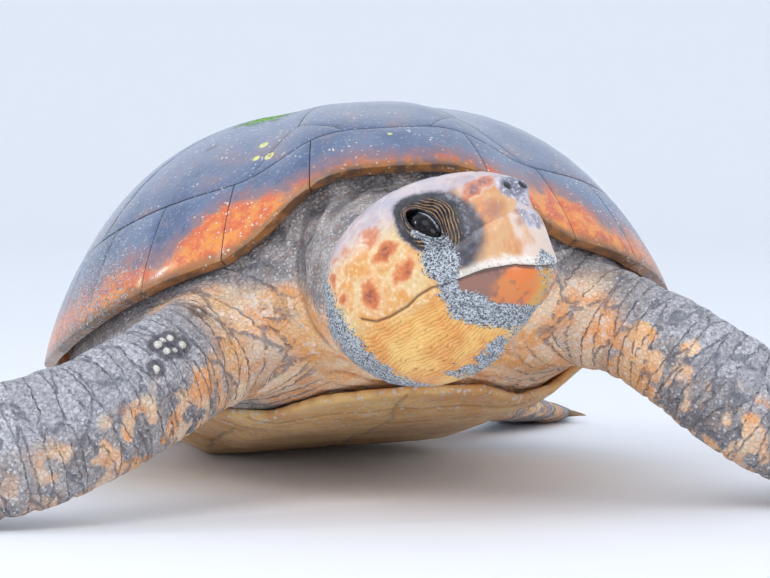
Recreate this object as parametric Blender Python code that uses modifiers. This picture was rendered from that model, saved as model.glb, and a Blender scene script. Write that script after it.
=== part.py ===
"""Adult loggerhead turtle, life size, in mid crawl: the fore flippers push the chest off the
ground and the raised head turns to its left.

Metres, +Z up. The turtle faces -Y, so its right side is -X. The shell, the plastron and the trunk
are modelled level in the body frame, where Y is 0 at the widest section and Z is 0 under the
plastron, and are then pitched and rolled together. The head has a frame of its own at the tip of
the upper beak. Limbs, neck and tail are laid out where they stand.
"""

import math

import bmesh
import bpy
from mathutils import Matrix, Vector

# Shell, in the body frame.
SHELL_LENGTH = 0.95
SHELL_HALF_WIDTH = 0.38
SHELL_FRONT = 0.40  # from the widest section to the nuchal edge
SHELL_REAR = SHELL_LENGTH - SHELL_FRONT
SHELL_TOP = 0.392
SHELL_FALL = 0.90  # share of a full dome the shell takes from its top to its rim
SHELL_SQUARENESS = 2.8
RIM_SIDE = 0.118
RIM_TAIL = 0.100
RIM_SHOULDER = 0.075  # rise of the rim over the shoulders
RIM_ARCH = 0.082  # further rise over the neck
RIM_ARCH_WIDTH = 0.15
SCUTE_THICKNESS = 0.014
DOME_CELLS = 12  # facets across the carapace
VERTEBRAL_CORNER = 0.092  # half widths of the vertebral row
VERTEBRAL_SEAM = 0.058
VERTEBRAL_SEAMS = (-0.205, -0.035, 0.135, 0.295)
FIRST_CORNER = -0.285  # where the first vertebral is widest
MARGINAL_RING = 0.86  # inner edge of the marginals, as a share of the way out to the rim
MARGINALS = 12  # on each side
NUCHAL_SHARE = 0.075  # shares of the rim's half length, from the middle of the nuchal
NUCHAL_CORNER = 0.042
COSTAL_SHARES = (0.135, 0.345, 0.565, 0.765, 0.93)

# Plastron, in the body frame.
PLASTRON_FRONT = 0.33
PLASTRON_REAR = 0.40
PLASTRON_HALF_WIDTH = 0.19
PLASTRON_THICKNESS = 0.012
BRIDGE_REACH = 0.15  # how much further the bridge goes out on each side
BRIDGE_HALF_LENGTH = 0.17
BRIDGE_RISE = 0.098

# Trunk: share of the way to the rim, rise up the flank (None inside the dome), swell ahead.
TRUNK_LEVELS = (
    (0.30, 0.0, 0.0),
    (0.60, 0.02, 0.03),
    (0.77, 0.11, 0.16),
    (0.85, 0.30, 0.20),
    (0.90, 0.60, 0.13),
    (0.92, 0.90, 0.05),
    (0.90, None, 0.0),
    (0.50, None, 0.0),
)
CHEST_SPREAD = 1.1  # angle to each side over which the chest swells
RIM_TUCK = 0.020  # how far below the rim's outer edge the skin tucks in

# Stance.
BODY_PITCH = math.radians(9.5)  # chest up
BODY_ROLL = math.radians(3.0)  # right side down
BODY_LIFT = 0.047
HEAD_YAW = math.radians(40)  # to the turtle's left
HEAD_PITCH = math.radians(22)  # snout up
BEAK_AT = Vector((0.075, -0.665, 0.285))

# Head, in its own frame: distance back from the beak, half width, crown, throat, widest level.
HEAD_STATIONS = (
    (0.002, 0.014, 0.070, -0.014, 0.020),
    (0.014, 0.033, 0.100, -0.028, 0.022),
    (0.040, 0.052, 0.120, -0.042, 0.028),
    (0.075, 0.071, 0.133, -0.064, 0.034),
    (0.115, 0.087, 0.142, -0.078, 0.036),
    (0.160, 0.099, 0.144, -0.081, 0.036),
    (0.205, 0.097, 0.130, -0.072, 0.034),
    (0.240, 0.080, 0.106, -0.050, 0.030),
    (0.260, 0.050, 0.072, -0.022, 0.026),
)
EYE_AT = Vector((0.054, 0.086, 0.077))
EYE_RADIUS = 0.019
MOUTH = ((0.0, -0.004), (0.018, 0.006), (0.045, 0.011), (0.088, 0.010))
JAW_HINGE = (0.20, -0.035)

CLEARANCE = 0.0003  # between neighbours
LOW = 0.5  # deeper than anything below the floor

BODY = (
    Matrix.Translation((0, 0, BODY_LIFT))
    @ Matrix.Rotation(-BODY_ROLL, 4, "Y")
    @ Matrix.Rotation(-BODY_PITCH, 4, "X")
)
HEAD = (
    Matrix.Translation(BEAK_AT)
    @ Matrix.Rotation(HEAD_YAW, 4, "Z")
    @ Matrix.Rotation(-HEAD_PITCH, 4, "X")
)
WORLD = Matrix.Identity(4)


# ---------------------------------------------------------------- scene and materials


def clear_scene():
    for obj in list(bpy.data.objects):
        bpy.data.objects.remove(obj, do_unlink=True)


def collection(name):
    made = bpy.data.collections.new(name)
    bpy.context.scene.collection.children.link(made)
    return made


def finish(name, colour, roughness):
    """A Principled material."""
    material = bpy.data.materials.new(name)
    material.use_nodes = True
    shader = material.node_tree.nodes["Principled BSDF"]
    shader.inputs["Base Color"].default_value = (*colour, 1)
    shader.inputs["Roughness"].default_value = roughness
    shader.inputs["Metallic"].default_value = 0
    return material


def add_object(name, mesh, group, matrix=WORLD):
    obj = bpy.data.objects.new(name, mesh)
    group.objects.link(obj)
    obj.matrix_world = matrix
    mesh.shade_smooth()
    return obj


def mesh_from(bm, name, smooth_later=False):
    """A mesh facing out, in flat triangles unless it is to be subdivided."""
    bmesh.ops.recalc_face_normals(bm, faces=bm.faces)
    if not smooth_later:
        bmesh.ops.triangulate(bm, faces=bm.faces)
    mesh = bpy.data.meshes.new(name)
    bm.to_mesh(mesh)
    bm.free()
    return mesh


# ---------------------------------------------------------------- modelling tools


def smooth_step(low, high, value):
    share = min(1.0, max(0.0, (value - low) / (high - low)))
    return share * share * (3 - 2 * share)


def signed_power(value, power):
    return math.copysign(abs(value) ** power, value)


def baked(obj):
    """The object's mesh with its modifiers applied."""
    bpy.context.view_layer.update()
    graph = bpy.context.evaluated_depsgraph_get()
    return bpy.data.meshes.new_from_object(obj.evaluated_get(graph))


def apply_all(obj):
    """Applies the modifiers and leaves flat triangles, so that neighbours cut alike."""
    mesh = baked(obj)
    obj.modifiers.clear()
    bm = bmesh.new()
    bm.from_mesh(mesh)
    bmesh.ops.triangulate(bm, faces=bm.faces)
    bm.to_mesh(mesh)
    bm.free()
    obj.data = mesh
    mesh.shade_smooth()
    return obj


def helper(obj):
    """Marks a cutter, which shows as wire and is left out of a render."""
    obj.hide_render = True
    obj.display_type = "WIRE"
    return obj


def boolean(obj, operation, cutter):
    modifier = obj.modifiers.new(operation.title(), "BOOLEAN")
    modifier.operation = operation
    modifier.solver = "EXACT"
    modifier.object = cutter


def swollen(obj, group):
    """A cutter with the object's shape, larger by the clearance all round."""
    cutter = add_object("around_" + obj.name, baked(obj), group, obj.matrix_world)
    swell = cutter.modifiers.new("Clearance", "DISPLACE")
    swell.strength = CLEARANCE
    swell.mid_level = 0
    return helper(cutter)


def carve(obj, cutters):
    """Cuts the object by every cutter and applies the result."""
    for cutter in cutters:
        boolean(obj, "DIFFERENCE", cutter)
    return largest_only(apply_all(obj))


def subdivide(obj, levels=1):
    modifier = obj.modifiers.new("Soft form", "SUBSURF")
    modifier.levels = modifier.render_levels = levels
    return apply_all(obj)


def loft(rings):
    """Joins rings of points, all with the same count, into a closed skin with flat ends."""
    bm = bmesh.new()
    loops = [[bm.verts.new(point) for point in ring] for ring in rings]
    for near, far in zip(loops, loops[1:]):
        for i in range(len(near)):
            j = (i + 1) % len(near)
            bm.faces.new((near[i], near[j], far[j], far[i]))
    bm.faces.new(loops[0][::-1])
    bm.faces.new(loops[-1])
    return bm


def limb(name, stations, group, sides=10):
    """A limb swept through stations of (point, half chord, half thickness, chord direction)."""
    points = [Vector(station[0]) for station in stations]
    rings = []
    for i, (_, chord, thickness, across) in enumerate(stations):
        along = (points[min(i + 1, len(points) - 1)] - points[max(i - 1, 0)]).normalized()
        side = Vector(across)
        side = (side - along * side.dot(along)).normalized()
        normal = along.cross(side)
        turns = [2 * math.pi * k / sides for k in range(sides)]
        rings.append(
            [
                points[i] + side * chord * math.cos(turn) + normal * thickness * math.sin(turn)
                for turn in turns
            ]
        )
    return subdivide(add_object(name, mesh_from(loft(rings), name, True), group))


def ball(name, centre, radii, group, matrix=WORLD, segments=14, rings=9):
    """An ellipsoid."""
    bm = bmesh.new()
    bmesh.ops.create_uvsphere(bm, u_segments=segments, v_segments=rings, radius=1)
    bmesh.ops.transform(bm, matrix=Matrix.Diagonal((*radii, 1)), verts=bm.verts)
    bmesh.ops.translate(bm, vec=centre, verts=bm.verts)
    return add_object(name, mesh_from(bm, name), group, matrix)


def block(name, low, high, group, matrix=WORLD):
    """A box cutter between two corners."""
    low, high = Vector(low), Vector(high)
    bm = bmesh.new()
    bmesh.ops.create_cube(bm, size=1)
    bmesh.ops.transform(bm, matrix=Matrix.Diagonal((*(high - low), 1)), verts=bm.verts)
    bmesh.ops.translate(bm, vec=(low + high) / 2, verts=bm.verts)
    return helper(add_object(name, mesh_from(bm, name), group, matrix))


def prism(name, outline, low, high, group, matrix, axis="Z"):
    """A cutter: an outline on XY, or on YZ for axis X, narrowed by half the clearance."""
    bm = bmesh.new()
    face = bm.faces.new([bm.verts.new((u, v, low)) for u, v in outline])
    bm.normal_update()
    rim = bmesh.ops.inset_region(
        bm, faces=[face], thickness=CLEARANCE / 2, use_even_offset=True, use_boundary=True
    )
    bmesh.ops.delete(bm, geom=rim["faces"], context="FACES")
    grown = bmesh.ops.extrude_face_region(bm, geom=bm.faces[:])["geom"]
    top = [item for item in grown if isinstance(item, bmesh.types.BMVert)]
    bmesh.ops.translate(bm, vec=(0, 0, high - low), verts=top)
    if axis == "X":
        onto_side = Matrix(((0, 0, 1, 0), (1, 0, 0, 0), (0, 1, 0, 0), (0, 0, 0, 1)))
        bmesh.ops.transform(bm, matrix=onto_side, verts=bm.verts)
    return helper(add_object(name, mesh_from(bm, name), group, matrix))


def largest_only(obj):
    """Clears away the crumbs that a cut leaves beside the main body."""
    bm = bmesh.new()
    bm.from_mesh(obj.data)
    loose, islands = set(bm.verts), []
    while loose:
        reached, waiting = set(), [loose.pop()]
        while waiting:
            vert = waiting.pop()
            reached.add(vert)
            near = {edge.other_vert(vert) for edge in vert.link_edges} - reached
            waiting.extend(near & loose)
            loose -= near
        islands.append(reached)
    islands.sort(key=len)
    for island in islands[:-1]:
        bmesh.ops.delete(bm, geom=list(island), context="VERTS")
    bm.to_mesh(obj.data)
    bm.free()
    return obj


def cut_out(name, source, cutter, group):
    """The part of the source inside the cutter."""
    piece = add_object(name, baked(source), group, source.matrix_world)
    boolean(piece, "INTERSECT", cutter)
    return apply_all(piece)


# ---------------------------------------------------------------- shell


def rim_radius(angle):
    """Plan distance from the shell's centre to its rim. The angle is 0 ahead and pi behind."""
    angle = abs(angle)
    reach, power = (SHELL_FRONT, 2.5) if angle < math.pi / 2 else (SHELL_REAR, 1.8)
    wide = abs(math.sin(angle) / SHELL_HALF_WIDTH) ** power
    long = abs(math.cos(angle) / reach) ** power
    return (wide + long) ** (-1 / power)


def plan_point(angle, share=1.0):
    radius = rim_radius(angle) * share
    return Vector((radius * math.sin(angle), -radius * math.cos(angle)))


def rim_height(angle):
    """The rim arches over the neck, has a shoulder on each side and dips along the flanks."""
    if abs(angle) < math.pi / 2:
        across = abs(plan_point(angle).x)
        shoulder = 1 - (across / SHELL_HALF_WIDTH) ** 3.2
        arch = math.exp(-((across / RIM_ARCH_WIDTH) ** 4))
        return RIM_SIDE + RIM_SHOULDER * shoulder + RIM_ARCH * arch
    back = abs(angle) / (math.pi / 2) - 1
    lift = 0.016 * math.sin(math.pi * back) ** 2
    return RIM_SIDE + (RIM_TAIL - RIM_SIDE) * back + lift


def shell_height(x, y):
    """Height of the shell's outer surface over a plan point."""
    angle = math.atan2(x, -y)
    out = math.hypot(x, y) / rim_radius(angle)
    foot = math.sqrt(1 - SHELL_FALL**SHELL_SQUARENESS)
    arc = math.sqrt(max(0.0, 1 - (SHELL_FALL * out) ** SHELL_SQUARENESS))
    dome = (arc - foot) / (1 - foot)
    rim = rim_height(angle)
    return rim + (SHELL_TOP - rim) * dome


def dome_sheet(cells, share, height):
    """A square grid spread over the shell's plan and lifted to a height function."""
    bm = bmesh.new()
    bmesh.ops.create_grid(bm, x_segments=cells, y_segments=cells, size=1)
    for vert in bm.verts:
        u, v = vert.co.x, vert.co.y
        x, y = u * math.sqrt(1 - v * v / 2), v * math.sqrt(1 - u * u / 2)
        out = math.hypot(x, y)
        plan = plan_point(math.atan2(x, -y), out * share)
        vert.co = (plan.x, plan.y, height(plan.x, plan.y, out))
    return bm


def walled(name, sheet, thickness, up, group, shift=0.0):
    """Thickens a sheet upward or downward, and can then move its first side away by a shift."""
    mesh = mesh_from(sheet, name, True)
    count = len(mesh.vertices)
    obj = add_object(name, mesh, group, BODY)
    wall = obj.modifiers.new("Wall", "SOLIDIFY")
    wall.thickness = thickness
    wall.offset = 1 if up == (mesh.polygons[0].normal.z > 0) else -1
    wall.use_even_offset = True
    apply_all(obj)
    for vert in obj.data.vertices[:count]:
        vert.co.z += shift
    return obj


def carapace_sheet():
    return dome_sheet(DOME_CELLS, 1.0, lambda x, y, out: shell_height(x, y))


def carapace_layer(group):
    """The whole carapace in one piece, which the scutes are cut from."""
    return helper(walled("carapace_layer", carapace_sheet(), SCUTE_THICKNESS, False, group))


def carapace_roof(group):
    """A cutter for all that lies above the inside of the carapace."""
    thickness = SCUTE_THICKNESS + CLEARANCE
    return helper(walled("carapace_roof", carapace_sheet(), thickness, False, group, 0.4))


def rim_angle_finder():
    """A function giving the angle at a share of the rim's half length from the nuchal point."""
    steps = 400
    angles = [math.pi * i / steps for i in range(steps + 1)]
    lengths = [0.0]
    for near, far in zip(angles, angles[1:]):
        lengths.append(lengths[-1] + (plan_point(far) - plan_point(near)).length)

    def angle_at(share):
        wanted = share * lengths[-1]
        i = next(i for i in range(1, steps + 1) if lengths[i] >= wanted - 1e-9)
        part = (wanted - lengths[i - 1]) / (lengths[i] - lengths[i - 1])
        return angles[i - 1] + part * (angles[i] - angles[i - 1])

    return angle_at


def both_sides(outline):
    """Completes an outline that starts and ends on the midline."""
    return outline + [(-x, y) for x, y in outline[-2:0:-1]]


def half_shell_outlines():
    """Plan outlines of the midline scutes, then of the left side's paired scutes by row."""
    angle_at = rim_angle_finder()
    marginal = [NUCHAL_SHARE + (1 - NUCHAL_SHARE) * i / MARGINALS for i in range(MARGINALS + 1)]
    ring = sorted({0.0, NUCHAL_CORNER, *marginal, *COSTAL_SHARES})

    def arc(start, end):
        inside = [share for share in ring if start - 1e-9 <= share <= end + 1e-9]
        return [tuple(plan_point(angle_at(share), MARGINAL_RING)) for share in inside]

    def beyond(share):
        return tuple(plan_point(angle_at(share), 1.15))

    seams = [(VERTEBRAL_SEAM, y) for y in VERTEBRAL_SEAMS]
    middles = [(a + b) / 2 for a, b in zip(VERTEBRAL_SEAMS, VERTEBRAL_SEAMS[1:])]
    corners = [(VERTEBRAL_CORNER, y) for y in (FIRST_CORNER, *middles)]
    nuchal_end = arc(0.0, NUCHAL_SHARE)
    midline = {
        "nuchal": both_sides(nuchal_end + [beyond(NUCHAL_SHARE), beyond(0.0)]),
        "vertebral_1": both_sides(
            arc(0.0, NUCHAL_CORNER) + [corners[0], seams[0], (0.0, seams[0][1])]
        ),
        "vertebral_5": both_sides([(0.0, seams[3][1]), seams[3]] + arc(COSTAL_SHARES[4], 1.0)),
    }
    for i in range(1, 4):
        midline[f"vertebral_{i + 1}"] = both_sides(
            [(0.0, seams[i - 1][1]), seams[i - 1], corners[i], seams[i], (0.0, seams[i][1])]
        )
    rows = {"costal": [arc(NUCHAL_CORNER, COSTAL_SHARES[0]) + [corners[0]]], "marginal": []}
    for i in range(3):
        rows["costal"].append(
            arc(COSTAL_SHARES[i], COSTAL_SHARES[i + 1]) + [corners[i + 1], seams[i], corners[i]]
        )
    rows["costal"].append(arc(COSTAL_SHARES[3], COSTAL_SHARES[4]) + [seams[3], corners[3]])
    for near, far in zip(marginal, marginal[1:]):
        rows["marginal"].append(arc(near, far) + [beyond(far), beyond(near)])
    return midline, rows


def scute_outlines():
    """Every scute's name and plan outline."""
    midline, rows = half_shell_outlines()
    found = dict(midline)
    for row, outlines in rows.items():
        for i, outline in enumerate(outlines, 1):
            number = f"{i:02d}" if row == "marginal" else str(i)
            found[f"{row}_left_{number}"] = outline
            found[f"{row}_right_{number}"] = [(-x, y) for x, y in reversed(outline)]
    return found


def make_scutes(layer, group, cutters):
    made = []
    for name, outline in scute_outlines().items():
        cutter = prism("plan_of_" + name, outline, -0.1, 0.6, cutters, BODY)
        made.append(cut_out(name, layer, cutter, group))
    return made


# ---------------------------------------------------------------- plastron and trunk


def plastron_reach(angle):
    """Plan distance to the plastron's edge, bridge included."""
    length = PLASTRON_FRONT if abs(angle) < math.pi / 2 else PLASTRON_REAR
    wide = abs(math.sin(angle) / PLASTRON_HALF_WIDTH) ** 2.6
    long = abs(math.cos(angle) / length) ** 2.6
    reach = (wide + long) ** (-1 / 2.6)
    along = reach * math.cos(angle)
    side = abs(math.sin(angle)) ** 0.5
    return reach + BRIDGE_REACH * side * math.exp(-((along / BRIDGE_HALF_LENGTH) ** 4))


def plastron_underside(x, y):
    """Flat in the middle, turned up along the bridges and at both ends."""
    bridge = smooth_step(PLASTRON_HALF_WIDTH * 0.75, PLASTRON_HALF_WIDTH + BRIDGE_REACH, abs(x))
    front = smooth_step(PLASTRON_FRONT * 0.55, PLASTRON_FRONT, -y)
    rear = smooth_step(PLASTRON_REAR * 0.6, PLASTRON_REAR, y)
    return BRIDGE_RISE * bridge + 0.022 * front + 0.020 * rear


def plastron_sheet():
    """A square grid spread over the plastron's plan."""
    bm = bmesh.new()
    bmesh.ops.create_grid(bm, x_segments=7, y_segments=7, size=1)
    for vert in bm.verts:
        u, v = vert.co.x, vert.co.y
        x, y = u * math.sqrt(1 - v * v / 2), v * math.sqrt(1 - u * u / 2)
        angle = math.atan2(x, -y)
        reach = plastron_reach(angle) * math.hypot(x, y)
        x, y = reach * math.sin(angle), -reach * math.cos(angle)
        vert.co = (x, y, plastron_underside(x, y))
    return bm


def make_plastron(group):
    return walled("plastron", plastron_sheet(), PLASTRON_THICKNESS, True, group)


def plastron_cellar(group):
    """A cutter for all that lies below the inside of the plastron."""
    sheet = plastron_sheet()
    bmesh.ops.scale(sheet, vec=(1.003, 1.003, 1), verts=sheet.verts)
    thickness = PLASTRON_THICKNESS + 4 * CLEARANCE
    return helper(walled("plastron_cellar", sheet, thickness, True, group, -0.3))


def trunk_ring(share, rise, swell, sides=20):
    """A ring round the soft body: above the carapace if rise is None, else up the flank.

    The swell pushes the chest and the shoulders out ahead.
    """
    ring = []
    for k in range(sides):
        angle = 2 * math.pi * (k + 0.5) / sides - math.pi
        ahead = math.exp(-((angle / CHEST_SPREAD) ** 4))
        plan = plan_point(angle, share) * (1 + swell * ahead)
        if rise is None:
            height = shell_height(plan.x, plan.y) + SCUTE_THICKNESS
        else:
            floor = plastron_underside(plan.x, plan.y)
            height = floor + (rim_height(angle) - RIM_TUCK - floor) * rise
        ring.append((plan.x, plan.y, height))
    return ring


def make_trunk(group, cutters, around_plastron):
    """The soft body between carapace and plastron."""
    rings = [trunk_ring(*level) for level in TRUNK_LEVELS]
    trunk = add_object("trunk", mesh_from(loft(rings), "trunk"), group, BODY)
    return carve(trunk, [carapace_roof(cutters), plastron_cellar(cutters), around_plastron])


# ---------------------------------------------------------------- head


def head_ring(back, half_width, crown, throat, level, sides=10):
    """A section across the head: flat on the crown, rounder under the jaw."""
    ring = []
    for k in range(sides):
        turn = 2 * math.pi * (k + 0.5) / sides
        rise = math.sin(turn)
        height = crown - level if rise > 0 else level - throat
        ring.append(
            (
                half_width * signed_power(math.cos(turn), 0.92),
                back,
                level + height * signed_power(rise, 0.95),
            )
        )
    return ring


def make_head_form(cutters):
    rings = [head_ring(*station) for station in HEAD_STATIONS]
    form = add_object("head_form", mesh_from(loft(rings), "head_form", True), cutters, HEAD)
    return helper(subdivide(form))


def head_cutters(group):
    """Side outlines that part the head, the two beaks and the lower jaw."""
    ahead, behind, high, deep = -0.05, 0.32, 0.2, -0.2
    corner = MOUTH[-1]
    top_beak = [(ahead, 0.066), (ahead, MOUTH[0][1]), *MOUTH, (0.090, 0.030), (0.030, 0.050)]
    low_beak = [(ahead, -0.030), (0.035, -0.030), (0.075, -0.012), corner, *MOUTH[-2::-1]]
    low_beak.append((ahead, MOUTH[0][1]))
    jaw = [(ahead, -0.030), (ahead, deep), (behind, deep), (behind, -0.06), JAW_HINGE, corner]
    jaw += [(0.075, -0.012), (0.035, -0.030)]
    skull = [(ahead, 0.066), (0.030, 0.050), (0.090, 0.030), corner, JAW_HINGE]
    skull += [(behind, -0.06), (behind, high), (ahead, high)]
    outlines = {"beak_upper": top_beak, "beak_lower": low_beak, "lower_jaw": jaw, "head": skull}
    return {
        name: prism("side_of_" + name, outline, -0.2, 0.2, group, HEAD, "X")
        for name, outline in outlines.items()
    }


def make_head(group, cutters):
    form = make_head_form(cutters)
    made = {
        name: cut_out(name, form, cutter, group)
        for name, cutter in head_cutters(cutters).items()
    }
    for side, sign in (("left", 1), ("right", -1)):
        centre = Vector((EYE_AT.x * sign, EYE_AT.y, EYE_AT.z))
        eye = ball("eye_" + side, centre, (EYE_RADIUS,) * 3, group, HEAD, 10, 7)
        made["eye_" + side] = eye
        carve(made["head"], [swollen(eye, cutters)])
    return made


def make_neck(group, cutters, head_form, neighbours):
    """From inside the back of the head down into the chest, bent to the left."""
    back_of_head = HEAD @ Vector((0, 0.20, 0.02))
    chest = BODY @ Vector((0, -0.22, 0.185))
    middle = back_of_head.lerp(chest, 0.5) + Vector((-0.012, 0.0, 0.012))
    level = (1, 0.1, 0)
    stations = (
        (back_of_head, 0.070, 0.075, level),
        (back_of_head.lerp(middle, 0.55), 0.093, 0.098, level),
        (middle, 0.112, 0.112, level),
        (chest, 0.145, 0.110, level),
    )
    neck = limb("neck", stations, group, 8)
    return carve(neck, neighbours + [swollen(head_form, cutters)])


# ---------------------------------------------------------------- limbs and tail

# Each station: point, half chord, half thickness, direction of the leading edge.
FORE_RIGHT = (
    ((-0.12, -0.21, 0.200), 0.085, 0.060, (0, -0.4, -1)),
    ((-0.21, -0.30, 0.188), 0.080, 0.062, (0, -0.4, -1)),
    ((-0.30, -0.38, 0.140), 0.072, 0.054, (0, -0.4, -1)),
    ((-0.38, -0.43, 0.103), 0.077, 0.044, (-0.05, -0.35, -1)),
    ((-0.46, -0.45, 0.082), 0.086, 0.035, (-0.1, -0.35, -1)),
    ((-0.53, -0.42, 0.060), 0.088, 0.028, (-0.3, -0.5, -0.75)),
    ((-0.60, -0.35, 0.036), 0.082, 0.021, (-0.6, -0.55, -0.4)),
    ((-0.65, -0.26, 0.018), 0.066, 0.016, (-0.8, -0.4, -0.15)),
    ((-0.68, -0.17, 0.009), 0.044, 0.012, (-0.9, -0.3, -0.05)),
    ((-0.69, -0.11, 0.006), 0.020, 0.009, (-0.95, -0.2, 0)),
)
FORE_LEFT = (
    ((0.12, -0.21, 0.225), 0.080, 0.060, (0, -0.4, -1)),
    ((0.22, -0.30, 0.216), 0.072, 0.062, (0, -0.4, -1)),
    ((0.29, -0.36, 0.178), 0.068, 0.056, (-0.3, -0.4, -0.9)),
    ((0.355, -0.40, 0.122), 0.079, 0.046, (-0.4, -0.35, -0.85)),
    ((0.43, -0.41, 0.080), 0.086, 0.036, (-0.2, -0.5, -0.8)),
    ((0.51, -0.37, 0.053), 0.088, 0.028, (0.25, -0.65, -0.6)),
    ((0.585, -0.29, 0.031), 0.082, 0.021, (0.6, -0.6, -0.3)),
    ((0.64, -0.19, 0.016), 0.066, 0.016, (0.85, -0.4, -0.1)),
    ((0.67, -0.10, 0.009), 0.044, 0.012, (0.95, -0.25, -0.05)),
    ((0.68, -0.04, 0.006), 0.020, 0.009, (0.98, -0.15, 0)),
)
HIND = (
    ((0.16, 0.34, 0.072), 0.060, 0.042, (0.6, -0.6, 0.1)),
    ((0.24, 0.44, 0.052), 0.062, 0.036, (0.7, -0.6, 0.1)),
    ((0.31, 0.53, 0.030), 0.070, 0.026, (0.8, -0.6, 0)),
    ((0.36, 0.62, 0.014), 0.084, 0.019, (0.9, -0.5, 0)),
    ((0.39, 0.70, 0.008), 0.067, 0.013, (0.95, -0.3, 0)),
    ((0.40, 0.755, 0.006), 0.030, 0.009, (1, -0.1, 0)),
)
ELBOW_SPLIT = 0.40  # how far out the upper arm ends


def claw(name, station, aim, size, group, cutters, flipper):
    """A short curved cone, rooted in the flipper's leading edge."""
    point, chord, _, lead = station
    aim = Vector(aim).normalized()
    base = Vector(point) + Vector(lead).normalized() * chord * 0.78
    rings = []
    for share in (0, 0.4, 0.75, 1.0):
        centre = base + aim * size * 4 * share + Vector((0, 0, -0.6 * size * share * share))
        half = size * (1 - 0.85 * share)
        across = Vector((-aim.y, aim.x, 0))
        turns = [math.pi * k / 3 for k in range(6)]
        rings.append(
            [centre + half * (across * math.cos(t) + Vector((0, 0, math.sin(t)))) for t in turns]
        )
    made = add_object(name, mesh_from(loft(rings), name), group)
    return carve(made, [swollen(flipper, cutters)])


def part_arm(side, sign, form, group, cutters):
    """Parts a fore limb into the upper arm and the flipper."""
    gap = CLEARANCE / 2
    inner = sorted((0, sign * (ELBOW_SPLIT - gap)))
    outer = sorted((sign * (ELBOW_SPLIT + gap), sign * 1.2))
    arm_box = block("arm_box_" + side, (inner[0], -1, 0), (inner[1], 1, 1), cutters)
    blade_box = block("blade_box_" + side, (outer[0], -1, 0), (outer[1], 1, 1), cutters)
    arm = cut_out("upper_arm_" + side, form, arm_box, group)
    return arm, cut_out("fore_flipper_" + side, form, blade_box, group)


def make_fore_limbs(group, cutters, neighbours):
    made = {}
    for side, sign, stations in (("left", 1, FORE_LEFT), ("right", -1, FORE_RIGHT)):
        form = helper(limb("fore_limb_" + side, stations, cutters, 8))
        arm, blade = part_arm(side, sign, form, group, cutters)
        carve(arm, neighbours)
        made["upper_arm_" + side] = arm
        made["fore_flipper_" + side] = blade
        aim = (sign * 0.8, -0.75, 0.1)
        claw("claw_fore_" + side, stations[6], aim, 0.007, group, cutters, blade)
    return made


def make_hind_limbs(group, cutters, neighbours):
    made = {}
    ground = block("ground_behind", (-1, 0.2, 0), (1, 1, 1), cutters)
    for side, sign in (("left", 1), ("right", -1)):
        stations = [
            ((sign * point[0], point[1], point[2]), chord, thickness, (sign * lead[0], *lead[1:]))
            for point, chord, thickness, lead in HIND
        ]
        form = helper(limb("hind_limb_" + side, stations, cutters, 6))
        flipper = carve(cut_out("hind_flipper_" + side, form, ground, group), neighbours)
        made["hind_flipper_" + side] = flipper
        aim = (sign * 0.9, -0.3, 0.05)
        claw("claw_hind_" + side, stations[3], aim, 0.005, group, cutters, flipper)
    return made


def make_tail(group, cutters, neighbours):
    """Short and blunt, as in a female, just past the shell's edge."""
    stations = (
        ((0, 0.36, 0.060), 0.055, 0.042, (1, 0, 0)),
        ((0, 0.44, 0.048), 0.042, 0.034, (1, 0, 0)),
        ((0, 0.51, 0.036), 0.027, 0.024, (1, 0, 0)),
        ((0, 0.565, 0.026), 0.014, 0.013, (1, 0, 0)),
        ((0, 0.59, 0.022), 0.006, 0.006, (1, 0, 0)),
    )
    return carve(limb("tail", stations, group, 6), neighbours)


# ---------------------------------------------------------------- assembly


def colour_all(group):
    """Own material for every node, by what it is made of."""
    looks = {
        "vertebral": ((0.035, 0.040, 0.050), 0.25),
        "costal": ((0.045, 0.045, 0.050), 0.25),
        "marginal": ((0.300, 0.120, 0.035), 0.35),
        "nuchal": ((0.300, 0.120, 0.035), 0.35),
        "plastron": ((0.700, 0.480, 0.220), 0.5),
        "beak": ((0.620, 0.400, 0.210), 0.35),
        "eye": ((0.010, 0.008, 0.008), 0.05),
        "claw": ((0.250, 0.160, 0.080), 0.4),
        "head": ((0.600, 0.290, 0.080), 0.5),
        "lower_jaw": ((0.650, 0.380, 0.120), 0.5),
    }
    for obj in group.objects:
        colour, roughness = next(
            (look for key, look in looks.items() if obj.name.startswith(key)),
            ((0.230, 0.160, 0.120), 0.6),
        )
        obj.data.materials.clear()
        obj.data.materials.append(finish(obj.name + "_finish", colour, roughness))


def centre_on_origin(group):
    """Moves everything so that the origin is below the middle, on the floor."""
    points = [obj.matrix_world @ vert.co for obj in group.objects for vert in obj.data.vertices]
    low = Vector([min(point[axis] for point in points) for axis in range(3)])
    high = Vector([max(point[axis] for point in points) for axis in range(3)])
    middle = (low + high) / 2
    shift = Matrix.Translation((-middle.x, -middle.y, -low.z))
    for obj in group.objects:
        obj.matrix_world = shift @ obj.matrix_world


def main():
    clear_scene()
    turtle = collection("loggerhead_turtle")
    cutters = collection("cutters")
    layer = carapace_layer(cutters)
    around_shell = swollen(layer, cutters)
    make_scutes(layer, turtle, cutters)
    plastron = make_plastron(turtle)
    around_plastron = swollen(plastron, cutters)
    trunk = make_trunk(turtle, cutters, around_plastron)
    under_floor = block("under_floor", (-1, -1, -LOW), (1, 1, 0), cutters)
    carve(plastron, [under_floor])
    around_body = [around_shell, around_plastron, swollen(trunk, cutters)]
    head = make_head(turtle, cutters)
    neck = make_neck(turtle, cutters, bpy.data.objects["head_form"], around_body)
    limb_neighbours = around_body + [swollen(neck, cutters)]
    make_fore_limbs(turtle, cutters, limb_neighbours)
    make_hind_limbs(turtle, cutters, around_body)
    make_tail(turtle, cutters, around_body)
    centre_on_origin(turtle)
    colour_all(turtle)


main()
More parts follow.
